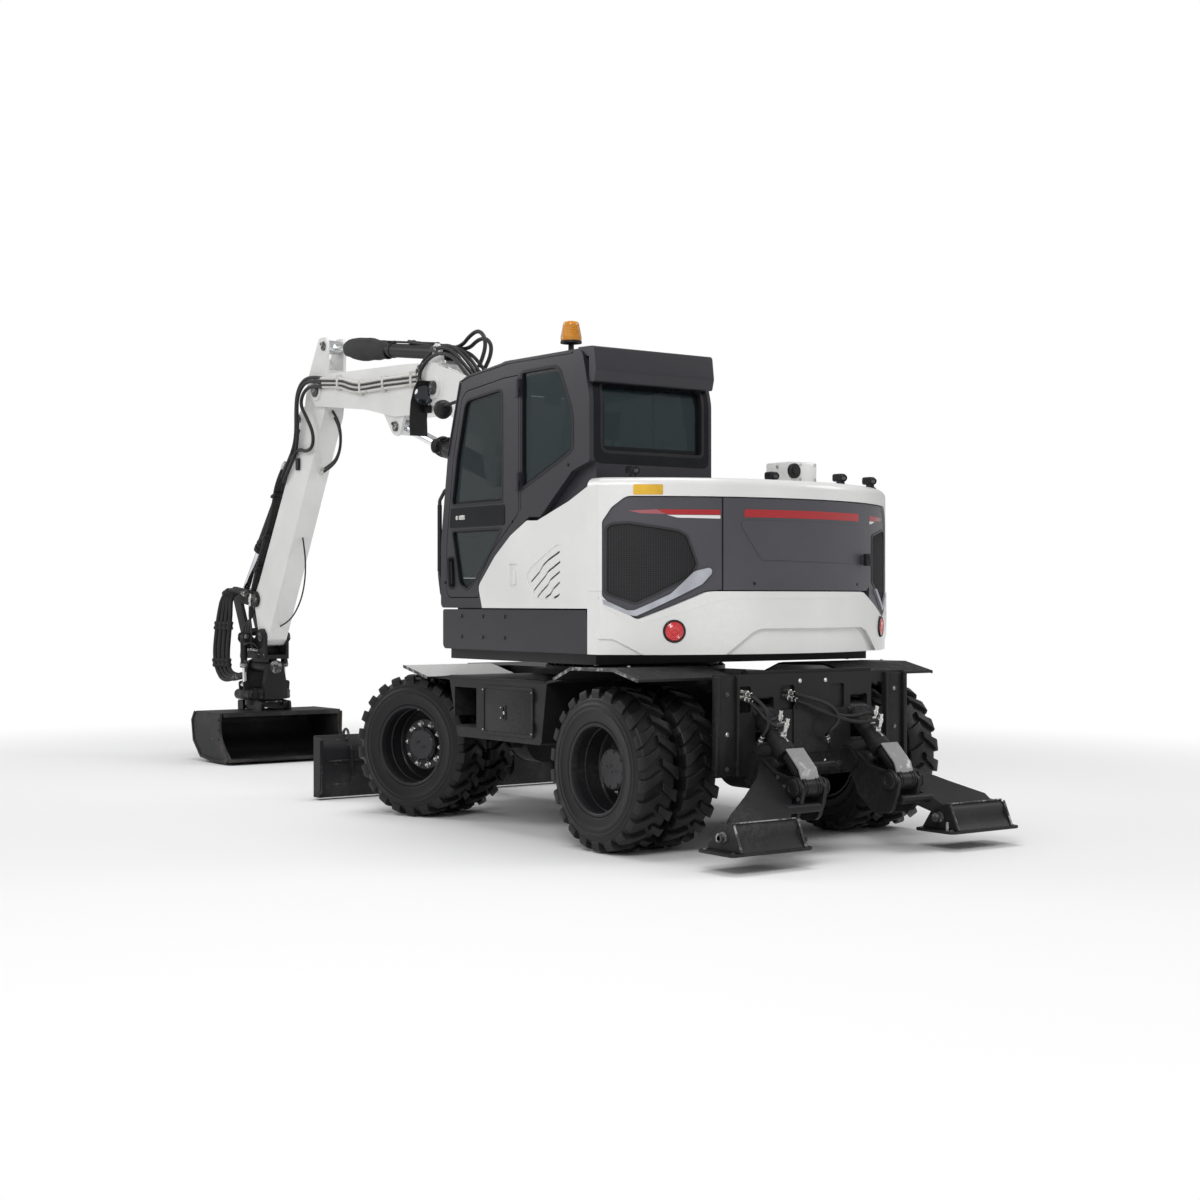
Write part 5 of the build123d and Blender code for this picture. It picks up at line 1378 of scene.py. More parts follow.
def dress_boxes():
    """Frames, hinges and screws of the tool boxes."""
    box = Form()
    for hand in (1, -1):
        place = on_side(hand * BOX_SIDE, hand)
        box.sheet(
            soft(corners(-0.475, 0.67, 0.155, 1.005, 0.02)), place, -0.006, 0.004,
            hole=soft(corners(-0.455, 0.69, 0.135, 0.985, 0.02))
        )
        box.sheet(
            soft(corners(-0.145, 0.775, -0.105, 0.875, 0.012)), place, 0, 0.006,
            hole=soft(corners(-0.139, 0.785, -0.111, 0.865, 0.006))
        )
        for z in (0.735, 0.945):
            box.rod((-0.478, hand * 1.214, z - 0.035), (-0.478, hand * 1.214, z + 0.035), 0.009)
        low, high = span(hand, 1.195, BOX_SIDE)
        box.block((-0.47, low, 0.675), (0.15, high, 1.0), edge=0.003)
        low, high = span(hand, 1.14, 1.206)
        box.block((-0.61, low, 1.044), (0.6, high, 1.062), edge=0.003)
    box.piece("box_frames", BLACK, "chassis", edge=0.002)
    screws = Form()
    for hand in (1, -1):
        screws.bolts([
            (x, hand * 1.212, z)
            for x, z in (
                (-0.085, 0.79), (-0.085, 0.86), (0.145, 0.7), (0.145, 0.975), (-0.465, 0.7), (-0.465, 0.975)
            )
        ], (0, hand, 0), 0.013, washer=False)
        screws.turned(
            (-0.125, hand * 1.21, 0.825), (0, hand, 0),
            ((0, 0.011), (0.006, 0.011), (0.008, 0.008), (0.008, 0)), 20
        )
        screws.bolts([(x, hand * 1.1, 1.178 - abs(x + 1.23) * 0.02) for x in (-1.05, -1.4)], (0, 0, 1), 0.02)
    screws.bolts([(-1.898, y, z) for y in (-0.11, 0.11) for z in (1.08, 0.56)], (-1, 0, 0), 0.022)
    screws.piece("chassis_bolts", ZINC, "chassis")


def dress_rear_plate():
    """Rear wall with its windows, posts and middle plate."""
    plates = Form()
    wall = Form().sheet(soft((
        (-0.82, 0.495, 0.02), (0.82, 0.495, 0.02), (0.82, 1.13), (-0.82, 1.13)
    )), on_front(REAR_PLATE, -1), 0, 0.012)
    slots = []
    for y_mid, half, low, high in (
        (0.405, 0.075, 0.68, 0.985), (0.57, 0.052, 0.89, 1.055), (0.215, 0.06, 0.9, 1.055)
    ):
        for y in (y_mid, -y_mid):
            slots.append(Form().sheet(
                soft(corners(y - half, low, y + half, high, 0.02)), on_front(REAR_PLATE - 0.006, -1), -0.05,
                0.05
            ))
    carved(wall, slots).piece("rear_wall", BLACK, "chassis", edge=0.003)
    for hand in (1, -1):
        for y_in, y_out in ((0.628, 0.65), (0.79, 0.822)):
            y_low, y_high = span(hand, y_in, y_out)
            plates.block((-1.925, y_low, 0.5), (-1.89, y_high, 1.12), edge=0.004)
        y_low, y_high = span(hand, 0.64, 0.8)
        plates.block((-1.907, y_low, 0.505), (-1.89, y_high, 1.115), edge=0.004)
    Form().bolts([
        (-1.907, y, z) for y in (-0.72, 0.72) for z in (0.545, 0.76, 1.01)
    ], (-1, 0, 0), 0.026).piece("post_bolts", WORN_STEEL, "chassis")
    plates.sheet(soft(corners(-0.17, 0.62, 0.17, 0.94, 0.03)), on_front(REAR_PLATE - 0.01, -1), 0, 0.012)
    plates.bolts([(-1.908, y, z) for y in (-0.14, 0.14) for z in (0.65, 0.91)], (-1, 0, 0), 0.022)
    for y in (-0.12, 0.12):
        plates.rod((-1.882, y, 0.55), (-2.02, y, 0.55), 0.02)
    plates.rod((-1.99, -0.15, 0.55), (-1.99, 0.15, 0.55), 0.018)
    plates.piece("rear_plate_trim", BLACK, "chassis", edge=0.002)


def dress_drive():
    """Step tread, slew ring, drive line, steering and hoses."""
    step = Form().sheet(corners(0.262, 0.962, 0.528, 1.195), on_top(0.7), 0.0003, 0.006)
    for index in range(7):
        step.block(
            (0.27, 0.985 + index * 0.03, 0.704), (0.52, 0.995 + index * 0.03, 0.712), edge=0.001, steps=1
        )
    step.piece("step_tread", BLACK, "chassis")
    slew = Form().turned((0, 0, 1.1), (0, 0, 1), (
        (0.002, 0.65), (0.03, 0.65), (0.034, 0.64), (0.034, 0.6), (0.06, 0.596), (0.074, 0.59), (0.074, 0.565)
    ), 96)
    slew.bolts(circle((0, 0, 1.134), "Z", 0.625, 36), (0, 0, 1), 0.026)
    slew.piece("slew_ring", BLACK, "chassis")
    line = Form().rod((-1.155, 0, SHAFT_Z), (1.155, 0, SHAFT_Z), 0.045)
    for x in (-1.13, -0.35, 0.35, 1.13):
        line.turned((x, 0, SHAFT_Z), (1, 0, 0), (
            (-0.05, 0.046), (-0.05, 0.065), (-0.02, 0.075), (0.02, 0.075), (0.05, 0.065), (0.05, 0.046)
        ), 28)
    for hand in (-1, 1):
        cover = Vector((hand * (KINGPIN[0] + 0.12), 0, WHEEL_R))
        line.turned(cover, (hand, 0, 0), (
            (-0.002, 0.196), (0.012, 0.196), (0.018, 0.18), (0.04, 0.15), (0.058, 0.08), (0.06, 0)
        ), 48)
        line.bolts(circle(
            cover + Vector((hand * 0.012, 0, 0)), "X", 0.185, 12
        ), (hand, 0, 0), 0.018, washer=False)
    for low, high, r in ((-0.46, 0.46, 0.034), (0.3, 0.62, 0.016), (-0.62, -0.3, 0.016)):
        line.rod((TRACK_ROD[0], low, TRACK_ROD[1]), (TRACK_ROD[0], high, TRACK_ROD[1]), r)
    for y in (-0.3, 0.3):
        line.block((1.33, y - 0.03, 0.5), (1.43, y + 0.03, 0.6), edge=0.008)
    line.piece("drive_line", BLACK, "chassis")
    runs = (
        ((-1.75, 0.3, 1.06), (-1.6, 0.42, 0.98), (-1.45, 0.46, 0.82), (-1.33, 0.4, 0.66)),
        ((1.1, 0.3, 0.78), (1.24, 0.44, 0.8), (1.32, 0.5, 0.68), (1.4, 0.44, 0.585))
    )
    both = [[(x, hand * y, z) for x, y, z in run] for run in runs for hand in (1, -1)]
    hoses("chassis_hoses", both, 0.009, "chassis", ends=ZINC)


LEG_PIN = (-1.96, 0.56)
LEG_EYE = (-2.3, 0.45)
PAD_PIN = (-2.39, 0.205)
LEG_MID = 0.405
CHEEK_INNER, CHEEK_OUTER = 0.3, 0.51
PAD_PLATES = (0.655, 1.138)
CHEEK = (
    (-1.91, 0.6, 0.03), (-1.985, 0.622, 0.04), (-2.12, 0.535, 0.08), (-2.24, 0.512, 0.04), (-2.3, 0.524, 0.06),
    (-2.372, 0.45, 0.06), (-2.345, 0.35, 0.04), (-2.3, 0.245, 0.06), (-2.15, 0.225, 0.1), (-2.0, 0.34, 0.08),
    (-1.902, 0.52, 0.03)
)
LEG_SPINE = (
    (-1.965, 0.555, 0.484, 0.53, 0.046), (-2.08, 0.47, 0.484, 0.65, 0.055), (-2.22, 0.37, 0.484, 0.87, 0.056),
    (-2.345, 0.29, 0.6, 1.085, 0.05), (-2.425, 0.225, 0.68, 1.12, 0.036)
)
GUARD = ((-2.174, 0.675), (-2.18, 0.681), (-2.302, 0.564), (-2.327, 0.493), (-2.318, 0.49), (-2.293, 0.558))
GUARD_FIN = ((-2.293, 0.56), (-2.327, 0.493), (-2.313, 0.438), (-2.27, 0.451), (-2.25, 0.52))
PAD_SIDE = ((-2.545, 0.128), (-2.475, 0.282, 0.02), (-2.35, 0.292, 0.03), (-2.235, 0.128))


def dress_stabilisers():
    """Legs, pads, rod guards, pins, hoses and fittings of both rear legs."""
    for place, hand in (("left", 1), ("right", -1)):
        leg, pad, rod = f"leg_{place}", f"pad_{place}", f"leg_rod_{place}"
        limb = Form()
        for y in (CHEEK_INNER, CHEEK_OUTER - 0.03):
            low, high = span(hand, y, y + 0.03)
            limb.sheet(soft(CHEEK), on_side(0), low, high)
        rings = []
        for index, (x, z, low, high, half) in enumerate(LEG_SPINE):
            before, after = LEG_SPINE[max(index - 1, 0)], LEG_SPINE[min(index + 1, 4)]
            way = Vector((after[0] - before[0], 0, after[1] - before[1])).normalized()
            up = Vector((way.z, 0, -way.x)) * half
            near, far = Vector((x, hand * low, z)), Vector((x, hand * high, z))
            rings.append([near + up, far + up, far - up, near - up])
        limb.stack(rings)
        limb.rod((LEG_PIN[0], hand * 0.3, LEG_PIN[1]), (LEG_PIN[0], hand * 0.515, LEG_PIN[1]), 0.056, 40)
        limb.rod((LEG_PIN[0] - 0.375, hand * 0.345, 0.33), (LEG_PIN[0] - 0.375, hand * 0.62, 0.33), 0.03)
        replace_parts(limb.piece(f"leg_body_{place}", BLACK, leg, edge=0.006), f"stabiliser_leg_{place}")
        pins = Form()
        for spot, low, high, r in ((LEG_EYE, 0.292, 0.518, 0.036), (PAD_PIN, 0.6, 1.185, 0.018)):
            start, end = span(hand, low, high)
            pins.rod((spot[0], start, spot[1]), (spot[0], end, spot[1]), r)
            for y, way in ((start, -1), (end, 1)):
                pins.turned((spot[0], y, spot[1]), (0, way, 0), (
                    (-0.012, r * 1.6), (-0.002, r * 1.6), (0.0, r * 1.4), (0.0, 0)
                ), 28)
        pins.bolts([(LEG_PIN[0], hand * (CHEEK_OUTER + 0.005), LEG_PIN[1])], (0, hand, 0), 0.034)
        for x, z in ((-2.15, 0.505), (-2.205, 0.45), (-2.33, 0.385)):
            pins.turned(
                (x, hand * CHEEK_OUTER, z), (0, hand, 0),
                ((-0.002, 0.014), (0.008, 0.013), (0.01, 0.009), (0.01, 0)), 20
            )
        pins.piece(f"leg_pins_{place}", WORN_STEEL, leg)
        boss = Form()
        for y, way, r in ((CHEEK_INNER, -1, 0.058), (CHEEK_OUTER, 1, 0.06)):
            boss.turned((LEG_EYE[0], hand * y, LEG_EYE[1]), (0, hand * way, 0), (
                (-0.002, r), (0.01, r), (0.013, r - 0.007), (0.018, r - 0.007), (0.021, r - 0.002),
                (0.03, r - 0.004), (0.034, r - 0.012), (0.034, 0.026), (0.03, 0.022), (0.03, 0)
            ), 40)
        for y in (0.342, 0.362, 0.448, 0.468):
            boss.turned((LEG_EYE[0], hand * y, LEG_EYE[1]), (0, 1, 0), (
                (-0.006, 0.03), (-0.006, 0.059), (-0.003, 0.062), (0.003, 0.062), (0.006, 0.059), (0.006, 0.03)
            ), 40)
        boss.piece(f"leg_eyes_{place}", BLACK, leg)
        guard = Form()
        low, high = span(hand, 0.333, 0.477)
        # The guard's pale grey is painted reflection of the sky on its top face
        guard.sheet(GUARD, on_side(0), low, high)
        guard.piece(f"rod_guard_{place}", GUARD_WEAR_AND_REFLECTION, rod, edge=0.0015)
        fins = Form()
        for y in (0.345, 0.465):
            fins.sheet(GUARD_FIN, on_side(0), hand * y - 0.005, hand * y + 0.005)
        fins.piece(f"rod_guard_fins_{place}", BLACK, rod, edge=0.0015)
        rim = Form()
        for y, way in ((CHEEK_INNER, -1), (CHEEK_OUTER, 1)):
            rim.ribbon((
                (-1.93, 0.6), (-1.985, 0.61), (-2.11, 0.527), (-2.23, 0.503), (-2.29, 0.512)
            ), 0.016, on_side(hand * y, hand * way), -0.001, 0.006)
        rim.piece(f"leg_beads_{place}", BLACK, leg, edge=0.002)
        shoe = Form()
        low, high = span(hand, 0.58, 1.22)
        shoe.sheet(soft(corners(-2.56, low, -2.22, high, 0.05)), on_top(0.11), 0, 0.018)
        for y in PAD_PLATES:
            shoe.sheet(soft(PAD_SIDE), on_side(0), hand * y - 0.01, hand * y + 0.01)
        low, high = span(hand, 0.65, 1.143)
        fold = ((-2.552, 0.128), (-2.5, 0.21), (-2.49, 0.262), (-2.462, 0.29), (-2.43, 0.296))
        rows = fold + tuple((x + 0.01, z - 0.012) for x, z in fold[::-1])
        shoe.sheet(rows, on_side(0), low, high)
        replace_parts(shoe.piece(f"pad_body_{place}", BLACK, pad, edge=0.004), f"stabiliser_pad_{place}")
        trim = Form()
        # Pale rods along the ear edges and the top fold are painted highlights, with real scuffs on them
        for y in (0.65, 1.143):
            trim.rod((-2.552, hand * y, 0.134), (-2.482, hand * y, 0.29), 0.007)
        trim.rod((-2.463, hand * 0.65, 0.294), (-2.463, hand * 1.143, 0.294), 0.005)
        trim.bolts([(x, hand * y, 0.127) for x in (-2.52, -2.26) for y in (0.62, 1.18)], (0, 0, 1), 0.022)
        for y, way in zip(PAD_PLATES, (-1, 1)):
            trim.turned(
                (PAD_PIN[0], hand * (y + way * 0.01), PAD_PIN[1]), (0, hand * way, 0),
                ((0, 0.036), (0.008, 0.034), (0.012, 0.026), (0.012, 0)), 28
            )
        trim.rod((-2.5, hand * 0.6, 0.12), (-2.5, hand * 0.6, 0.185), 0.01)
        trim.rod((-2.27, hand * 1.0, 0.12), (-2.27, hand * 1.0, 0.19), 0.01)
        trim.piece(f"pad_ribs_{place}", EDGE_WEAR_AND_HIGHLIGHT, pad, edge=0.001)
        barrel = f"leg_barrel_{place}"
        y = hand * LEG_MID
        run = Vector((-0.45, 0, -0.43)).normalized()
        up = Vector((run.z, 0, -run.x))
        foot = Vector((-1.85, y, 0.88))
        ports = Form()
        for reach in (0.17, 0.24):
            spot = foot + run * reach + up * 0.06
            ports.block(spot - Vector((0.018, 0.022, 0.012)), spot + Vector((0.018, 0.022, 0.018)), edge=0.004)
            ports.turned(spot + up * 0.012, up, (
                (0, 0.015), (0.018, 0.015), (0.02, 0.012), (0.03, 0.012), (0.031, 0)
            ), 6)
        ports.rod(
            foot + run * 0.17 + up * 0.084,
            foot + run * 0.17 + up * 0.084 + Vector((-0.035, hand * -0.025, 0.01)), 0.011
        )
        ports.rod(foot + run * 0.25 + up * 0.06, foot + run * 0.31 + up * 0.068, 0.008)
        ports.piece(f"leg_ports_{place}", ZINC, barrel)
        gland = Form().turned(foot + run * 0.318, run, (
            (-0.04, 0.0625), (-0.036, 0.0705), (0.036, 0.0715), (0.04, 0.064), (0.04, 0.044)
        ), 40)
        gland.turned(foot + run * 0.05, run, (
            (-0.02, 0.062), (-0.016, 0.069), (0.04, 0.069), (0.046, 0.062)
        ), 40)
        gland.piece(f"leg_glands_{place}", BLACK, barrel)
        first = foot + run * 0.17 + up * 0.115
        second = foot + run * 0.24 + up * 0.115
        start = 0.57 if hand > 0 else 0.215
        toward = lambda share: y + (start - y) * share
        hoses(f"leg_hoses_{place}", [
            [(-1.875, start + 0.012, 0.985), (-1.93, start + 0.004, 0.975), (-1.985, toward(0.7), 0.905),
             (-2.02, toward(0.35), 0.835), first + Vector((0, hand * 0.004, 0.035)), first - up * 0.02],
            [(-1.875, start - 0.02, 0.975), (-1.93, start - 0.026, 0.965), (-2.0, toward(0.6), 0.87),
             (-2.065, toward(0.25), 0.8), second + Vector((0, hand * -0.004, 0.035)), second - up * 0.02],
            [(-1.875, start, 1.02), (-1.945, start - 0.006, 1.005), (-2.01, toward(0.55), 0.93),
             (-2.03, toward(0.45), 0.82), (-1.99, toward(0.6), 0.74), (-1.94, toward(0.5), 0.69)]
        ], 0.0125, "chassis", ends=ZINC)


BOOM_Y = -0.08
LIFT_FOOT, LIFT_EYE = (1.0, 1.33), (1.5, 2.78)
ADJUST_FOOT, ADJUST_EYE = (1.9, 2.58), (3.45, 3.11)
ARM_FOOT, ARM_EYE = (2.8, 3.7), (4.85, 3.97)
CURL_FOOT, CURL_EYE = (5.38, 3.33), (6.82, 1.66)
ROTOR_X = 6.35


def pin_ends(form, spot, half, r):
    """Pin showing on both sides of a boom joint, with a keeper plate and its bolt."""
    for hand in (1, -1):
        y = BOOM_Y + hand * half
        form.turned((spot[0], y, spot[1]), (0, hand, 0), (
            (-0.006, r), (0.01, r), (0.014, r * 0.92), (0.014, r * 0.45), (0.01, r * 0.4), (0.01, 0)
        ), 36)
        form.block(
            (spot[0] - 0.012, min(y, y + hand * 0.008), spot[1] + r * 0.5),
            (spot[0] + r * 1.55, max(y, y + hand * 0.008), spot[1] + r * 0.5 + 0.03), edge=0.002
        )
        form.bolts([(spot[0] + r * 1.35, y + hand * 0.006, spot[1] + r * 0.5 + 0.015)], (0, hand, 0), 0.022)


def dress_boom():
    """Pins of the boom group's joints."""
    sets = (
        ("lower_boom", ((2.7, 3.38, 0.188, 0.06),)),
        ("upper_boom", ((4.93, 3.56, 0.152, 0.058), (3.45, 3.11, 0.122, 0.038), (2.8, 3.7, 0.106, 0.034))),
        ("arm", ((5.38, 3.33, 0.098, 0.032), (4.85, 3.97, 0.103, 0.038), (6.28, 1.6, 0.13, 0.036))),
        ("coupler", ((6.15, 1.22, 0.132, 0.036),)),
        ("link", ((6.82, 1.66, 0.124, 0.034),))
    )
    for body, spots in sets:
        form = Form()
        for x, z, half, r in spots:
            pin_ends(form, (x, z), half, r)
        form.piece(f"{body}_pins", WORN_STEEL, body)
    form = Form()
    pin_ends(form, (0.35, 1.72), 0.21, 0.05)
    for hand in (1, -1):
        form.turned(
            (LIFT_FOOT[0], BOOM_Y + hand * 0.325, LIFT_FOOT[1]), (0, hand, 0),
            ((-0.004, 0.036), (0.008, 0.036), (0.011, 0.03), (0.011, 0)), 32
        )
    form.piece("boom_foot_pins", WORN_STEEL, "upper")


def dress_cylinders():
    """Glands, pipes and clamps of the boom group's cylinders."""
    glands = (
        ("lift_barrel", LIFT_FOOT, LIFT_EYE, (BOOM_Y - 0.225, BOOM_Y + 0.225), 1.035, 0.06, 0.062),
        ("adjust_barrel", ADJUST_FOOT, ADJUST_EYE, (BOOM_Y,), 1.1, 0.075, 0.07),
        ("arm_barrel", ARM_FOOT, ARM_EYE, (BOOM_Y,), 1.815, 0.062, 0.065),
        ("bucket_barrel", CURL_FOOT, CURL_EYE, (BOOM_Y,), 1.7, 0.055, 0.058)
    )
    for body, foot, eye, rows, closed, tube, eye_r in glands:
        form = Form()
        for y in rows:
            base = Vector((foot[0], y, foot[1]))
            run = (Vector((eye[0], y, eye[1])) - base).normalized()
            mouth = base + run * (closed - eye_r - 0.006)
            r = tube * 1.12
            form.turned(mouth, run, (
                (-0.052, tube), (-0.052, r + 0.004), (-0.004, r + 0.004), (0.004, r - 0.004),
                (0.006, tube * 0.72)
            ), 40)
            up = Vector((-run.z, 0, run.x))
            up = up if up.z > 0 else -up
            form.rod(base + run * 0.16 + up * (tube + 0.014), mouth - run * 0.08 + up * (tube + 0.014), 0.01)
            for reach in (0.15, 0.5 * closed, closed - eye_r - 0.1):
                spot = base + run * reach
                form.turned(spot, run, (
                    (-0.01, tube), (-0.01, tube + 0.006), (0.01, tube + 0.006), (0.01, tube)
                ), 40)
                form.block(
                    spot + up * (tube + 0.008) - Vector((0.016, 0.014, 0.012)),
                    spot + up * (tube + 0.008) + Vector((0.016, 0.014, 0.016)), edge=0.004
                )
        form.piece(f"{body}_fittings", BLACK, body)


def dress_lines():
    """Pipes along the upper boom and the hoses at its elbow."""
    pipes = [
        [(2.99, 0.075, 3.525), (3.25, 0.078, 3.53), (3.6, 0.078, 3.545), (4.03, 0.078, 3.545),
         (4.2, 0.078, 3.575), (4.36, 0.078, 3.62), (4.6, 0.078, 3.64), (4.84, 0.078, 3.668)],
        [(2.99, 0.072, 3.485), (3.25, 0.075, 3.49), (3.6, 0.075, 3.505), (4.05, 0.075, 3.505),
         (4.22, 0.075, 3.535), (4.38, 0.075, 3.582), (4.6, 0.075, 3.602), (4.8, 0.075, 3.622)],
        [(2.96, 0.075, 3.445), (3.25, 0.078, 3.45), (3.6, 0.078, 3.462), (4.08, 0.078, 3.465),
         (4.24, 0.078, 3.495), (4.4, 0.078, 3.545), (4.6, 0.078, 3.566), (4.76, 0.078, 3.58)]
    ]
    hoses("boom_pipes", pipes, 0.014, "upper_boom", PIPE_WHITE)
    thin = [[(x, y + 0.012, z - 0.022) for x, y, z in run] for run in pipes[:2]]
    hoses("boom_wires", thin, 0.0065, "upper_boom")
    clamps = Form()
    clamp_at = ((3.1, 3.487), (3.6, 3.504), (4.02, 3.505), (4.45, 3.592))
    for x, z in clamp_at:
        clamps.block((x - 0.016, 0.054, z - 0.075), (x + 0.016, 0.1, z + 0.075), edge=0.004)
    clamps.piece("pipe_clamps", PIPE_WHITE, "upper_boom")
    bolts = Form().bolts([(x, 0.1, z + dz) for x, z in clamp_at for dz in (-0.055, 0.055)], (0, 1, 0), 0.016)
    bolts.piece("clamp_bolts", ZINC, "upper_boom")
    elbow = [
        [(2.07, 0.03, 3.36), (2.28, 0.04, 3.52), (2.52, 0.03, 3.69), (2.75, 0.02, 3.74), (2.93, 0.03, 3.68),
         (3.02, 0.06, 3.57), (3.01, 0.075, 3.525)],
        [(2.1, 0.0, 3.38), (2.3, 0.0, 3.56), (2.55, -0.01, 3.72), (2.78, -0.02, 3.76), (2.97, 0.0, 3.69),
         (3.04, 0.05, 3.55), (3.01, 0.072, 3.485)],
        [(2.12, -0.04, 3.4), (2.34, -0.05, 3.6), (2.6, -0.06, 3.73), (2.84, -0.06, 3.75), (2.99, -0.02, 3.66),
         (3.03, 0.05, 3.52), (2.97, 0.075, 3.445)],
        [(2.05, 0.06, 3.3), (2.22, 0.08, 3.46), (2.42, 0.08, 3.62), (2.68, 0.07, 3.68), (2.9, 0.07, 3.62),
         (2.98, 0.09, 3.5), (2.93, 0.1, 3.42)],
        [(2.16, -0.1, 3.44), (2.36, -0.11, 3.62), (2.62, -0.12, 3.71), (2.86, -0.12, 3.77),
         (3.2, -0.11, 3.82), (3.42, -0.1, 3.86)]
    ]
    hoses("elbow_hoses", elbow, 0.0155, "upper_boom", ends=WORN_STEEL)
    loop = [
        [(3.4, -0.06, 3.86), (3.1, -0.08, 3.8), (2.75, -0.1, 3.73), (2.58, -0.11, 3.74), (2.46, -0.11, 3.81),
         (2.32, -0.11, 3.84), (2.2, -0.1, 3.76), (2.18, -0.08, 3.63), (2.24, -0.06, 3.52)],
        [(3.36, -0.13, 3.85), (3.05, -0.14, 3.79), (2.72, -0.14, 3.73), (2.54, -0.15, 3.71),
         (2.4, -0.15, 3.77), (2.27, -0.15, 3.77), (2.18, -0.15, 3.7), (2.2, -0.14, 3.58), (2.26, -0.12, 3.5)]
    ]
    hoses("elbow_loops", loop, 0.017, "upper_boom")


def dress_boom_trim():
    """Boot over the arm cylinder, lamp and flap."""
    boot = Form()
    foot, eye = (Vector((x, BOOM_Y, z)) for x, z in (ARM_FOOT, ARM_EYE))
    run = (eye - foot).normalized()
    boot.turned(foot + run * 0.98, run, (
        (0, 0.064), (0.01, 0.078), (0.1, 0.084), (0.2, 0.09), (0.3, 0.1), (0.42, 0.108), (0.54, 0.106),
        (0.64, 0.098), (0.72, 0.084), (0.77, 0.072), (0.785, 0.055)
    ), 40)
    for vert in boot.mesh.verts:
        along = (vert.co - foot).dot(run)
        vert.co += Vector((0, 0.006 * sin(along * 47 + vert.co.z * 20), 0.012 * sin(along * 31)))
    boot.piece("cylinder_boot", CANVAS, "arm_barrel", angle=180, subdivide=1)
    lamp = Form()
    spot, aim = Vector((2.78, 0.15, 3.325)), (-1, 0.35, 0.05)
    lamp.turned(spot, aim, (
        (-0.075, 0.0), (-0.07, 0.04), (-0.03, 0.078), (0.0, 0.086), (0.012, 0.088), (0.016, 0.082),
        (0.01, 0.078)
    ), 40)
    lamp.rod(spot + Vector((0.02, 0, -0.02)), spot + Vector((0.05, -0.07, -0.12)), 0.012)
    lamp.block((2.8, 0.055, 3.18), (2.88, 0.11, 3.24), edge=0.006)
    lamp.piece("boom_lamp", GASKET, "upper_boom")
    Form().turned(spot, aim, ((0.01, 0.079), (0.015, 0.06), (0.018, 0.03), (0.019, 0)), 40).piece(
        "boom_lamp_glass", LENS_GLASS, "upper_boom"
    )
    Form().ribbon((
        (2.745, 3.44), (2.81, 3.37), (2.86, 3.27), (2.88, 3.13), (2.872, 2.985)
    ), 0.01, on_side(0.06), 0, 0.17).piece("boom_flap", HOSE, "upper_boom", edge=0.002)


def dress_arm():
    """Hoses, cable and ties on the arm."""
    arm_hoses = [
        [(4.8, 0.078, 3.668), (4.98, 0.09, 3.7), (5.16, 0.095, 3.67), (5.29, 0.085, 3.56), (5.34, 0.07, 3.39),
         (5.35, 0.062, 3.21), (5.4, 0.06, 3.06), (5.56, 0.045, 2.925), (5.7, 0.04, 2.79)],
        [(4.78, 0.078, 3.622), (4.96, 0.1, 3.665), (5.12, 0.11, 3.63), (5.24, 0.105, 3.52),
         (5.285, 0.085, 3.35), (5.3, 0.068, 3.18), (5.35, 0.062, 3.02), (5.5, 0.05, 2.88), (5.66, 0.045, 2.74)],
        [(4.76, 0.078, 3.58), (4.93, 0.105, 3.61), (5.08, 0.115, 3.57), (5.17, 0.11, 3.45),
         (5.06, 0.09, 3.31), (4.965, 0.075, 3.17), (4.99, 0.065, 3.04), (5.14, 0.06, 3.0),
         (5.32, 0.055, 3.05), (5.48, 0.048, 2.96)]
    ]
    hoses("arm_hoses", arm_hoses, 0.0165, "arm")
    lines = []
    for index in range(4):
        y = 0.044 - index * 0.032
        off = index * 0.012
        lines.append([
            (5.62 + off, y, 2.93), (5.8 + off, y + 0.01, 2.76 + off), (5.9, y, 2.5), (5.99 + off, y, 2.33),
            (6.16, y + 0.006, 2.06 + off), (6.28 + off, y, 1.86), (6.36, y, 1.72), (6.4, y + 0.01, 1.58)
        ])
    hoses("front_hoses", lines, 0.014, "arm", ends=ZINC)
    hoses("arm_back_hoses", [
        [(4.9, -0.06, 3.42), (4.77, -0.07, 3.32), (4.7, -0.08, 3.16), (4.72, -0.08, 2.98),
         (4.86, -0.08, 2.85), (5.12, -0.08, 2.8)],
        [(4.95, -0.1, 3.4), (4.8, -0.1, 3.26), (4.74, -0.1, 3.12), (4.77, -0.1, 2.98), (4.9, -0.1, 2.88),
         (5.14, -0.1, 2.83)]
    ], 0.013, "arm", ends=ZINC)
    hoses("arm_cable", [[
        (5.5, -0.08, 2.22), (5.44, -0.08, 2.05), (5.43, -0.08, 1.84), (5.5, -0.08, 1.63), (5.66, -0.08, 1.46),
        (5.84, -0.08, 1.37), (6.0, -0.08, 1.33)
    ]], 0.0075, "arm")
    ties = Form()
    for x, z, turn in ((5.86, 2.62, 0.3), (6.06, 2.22, 0.55), (6.25, 1.9, 0.55)):
        ties.block(
            (x - 0.045, -0.075, z - 0.014), (x + 0.045, 0.068, z + 0.014), edge=0.006,
            turn=Matrix.Rotation(turn, 3, "Y")
        )
    ties.block((5.335, 0.02, 2.84), (5.395, 0.05, 2.955), edge=0.01)
    ties.piece("hose_ties", GASKET, "arm")


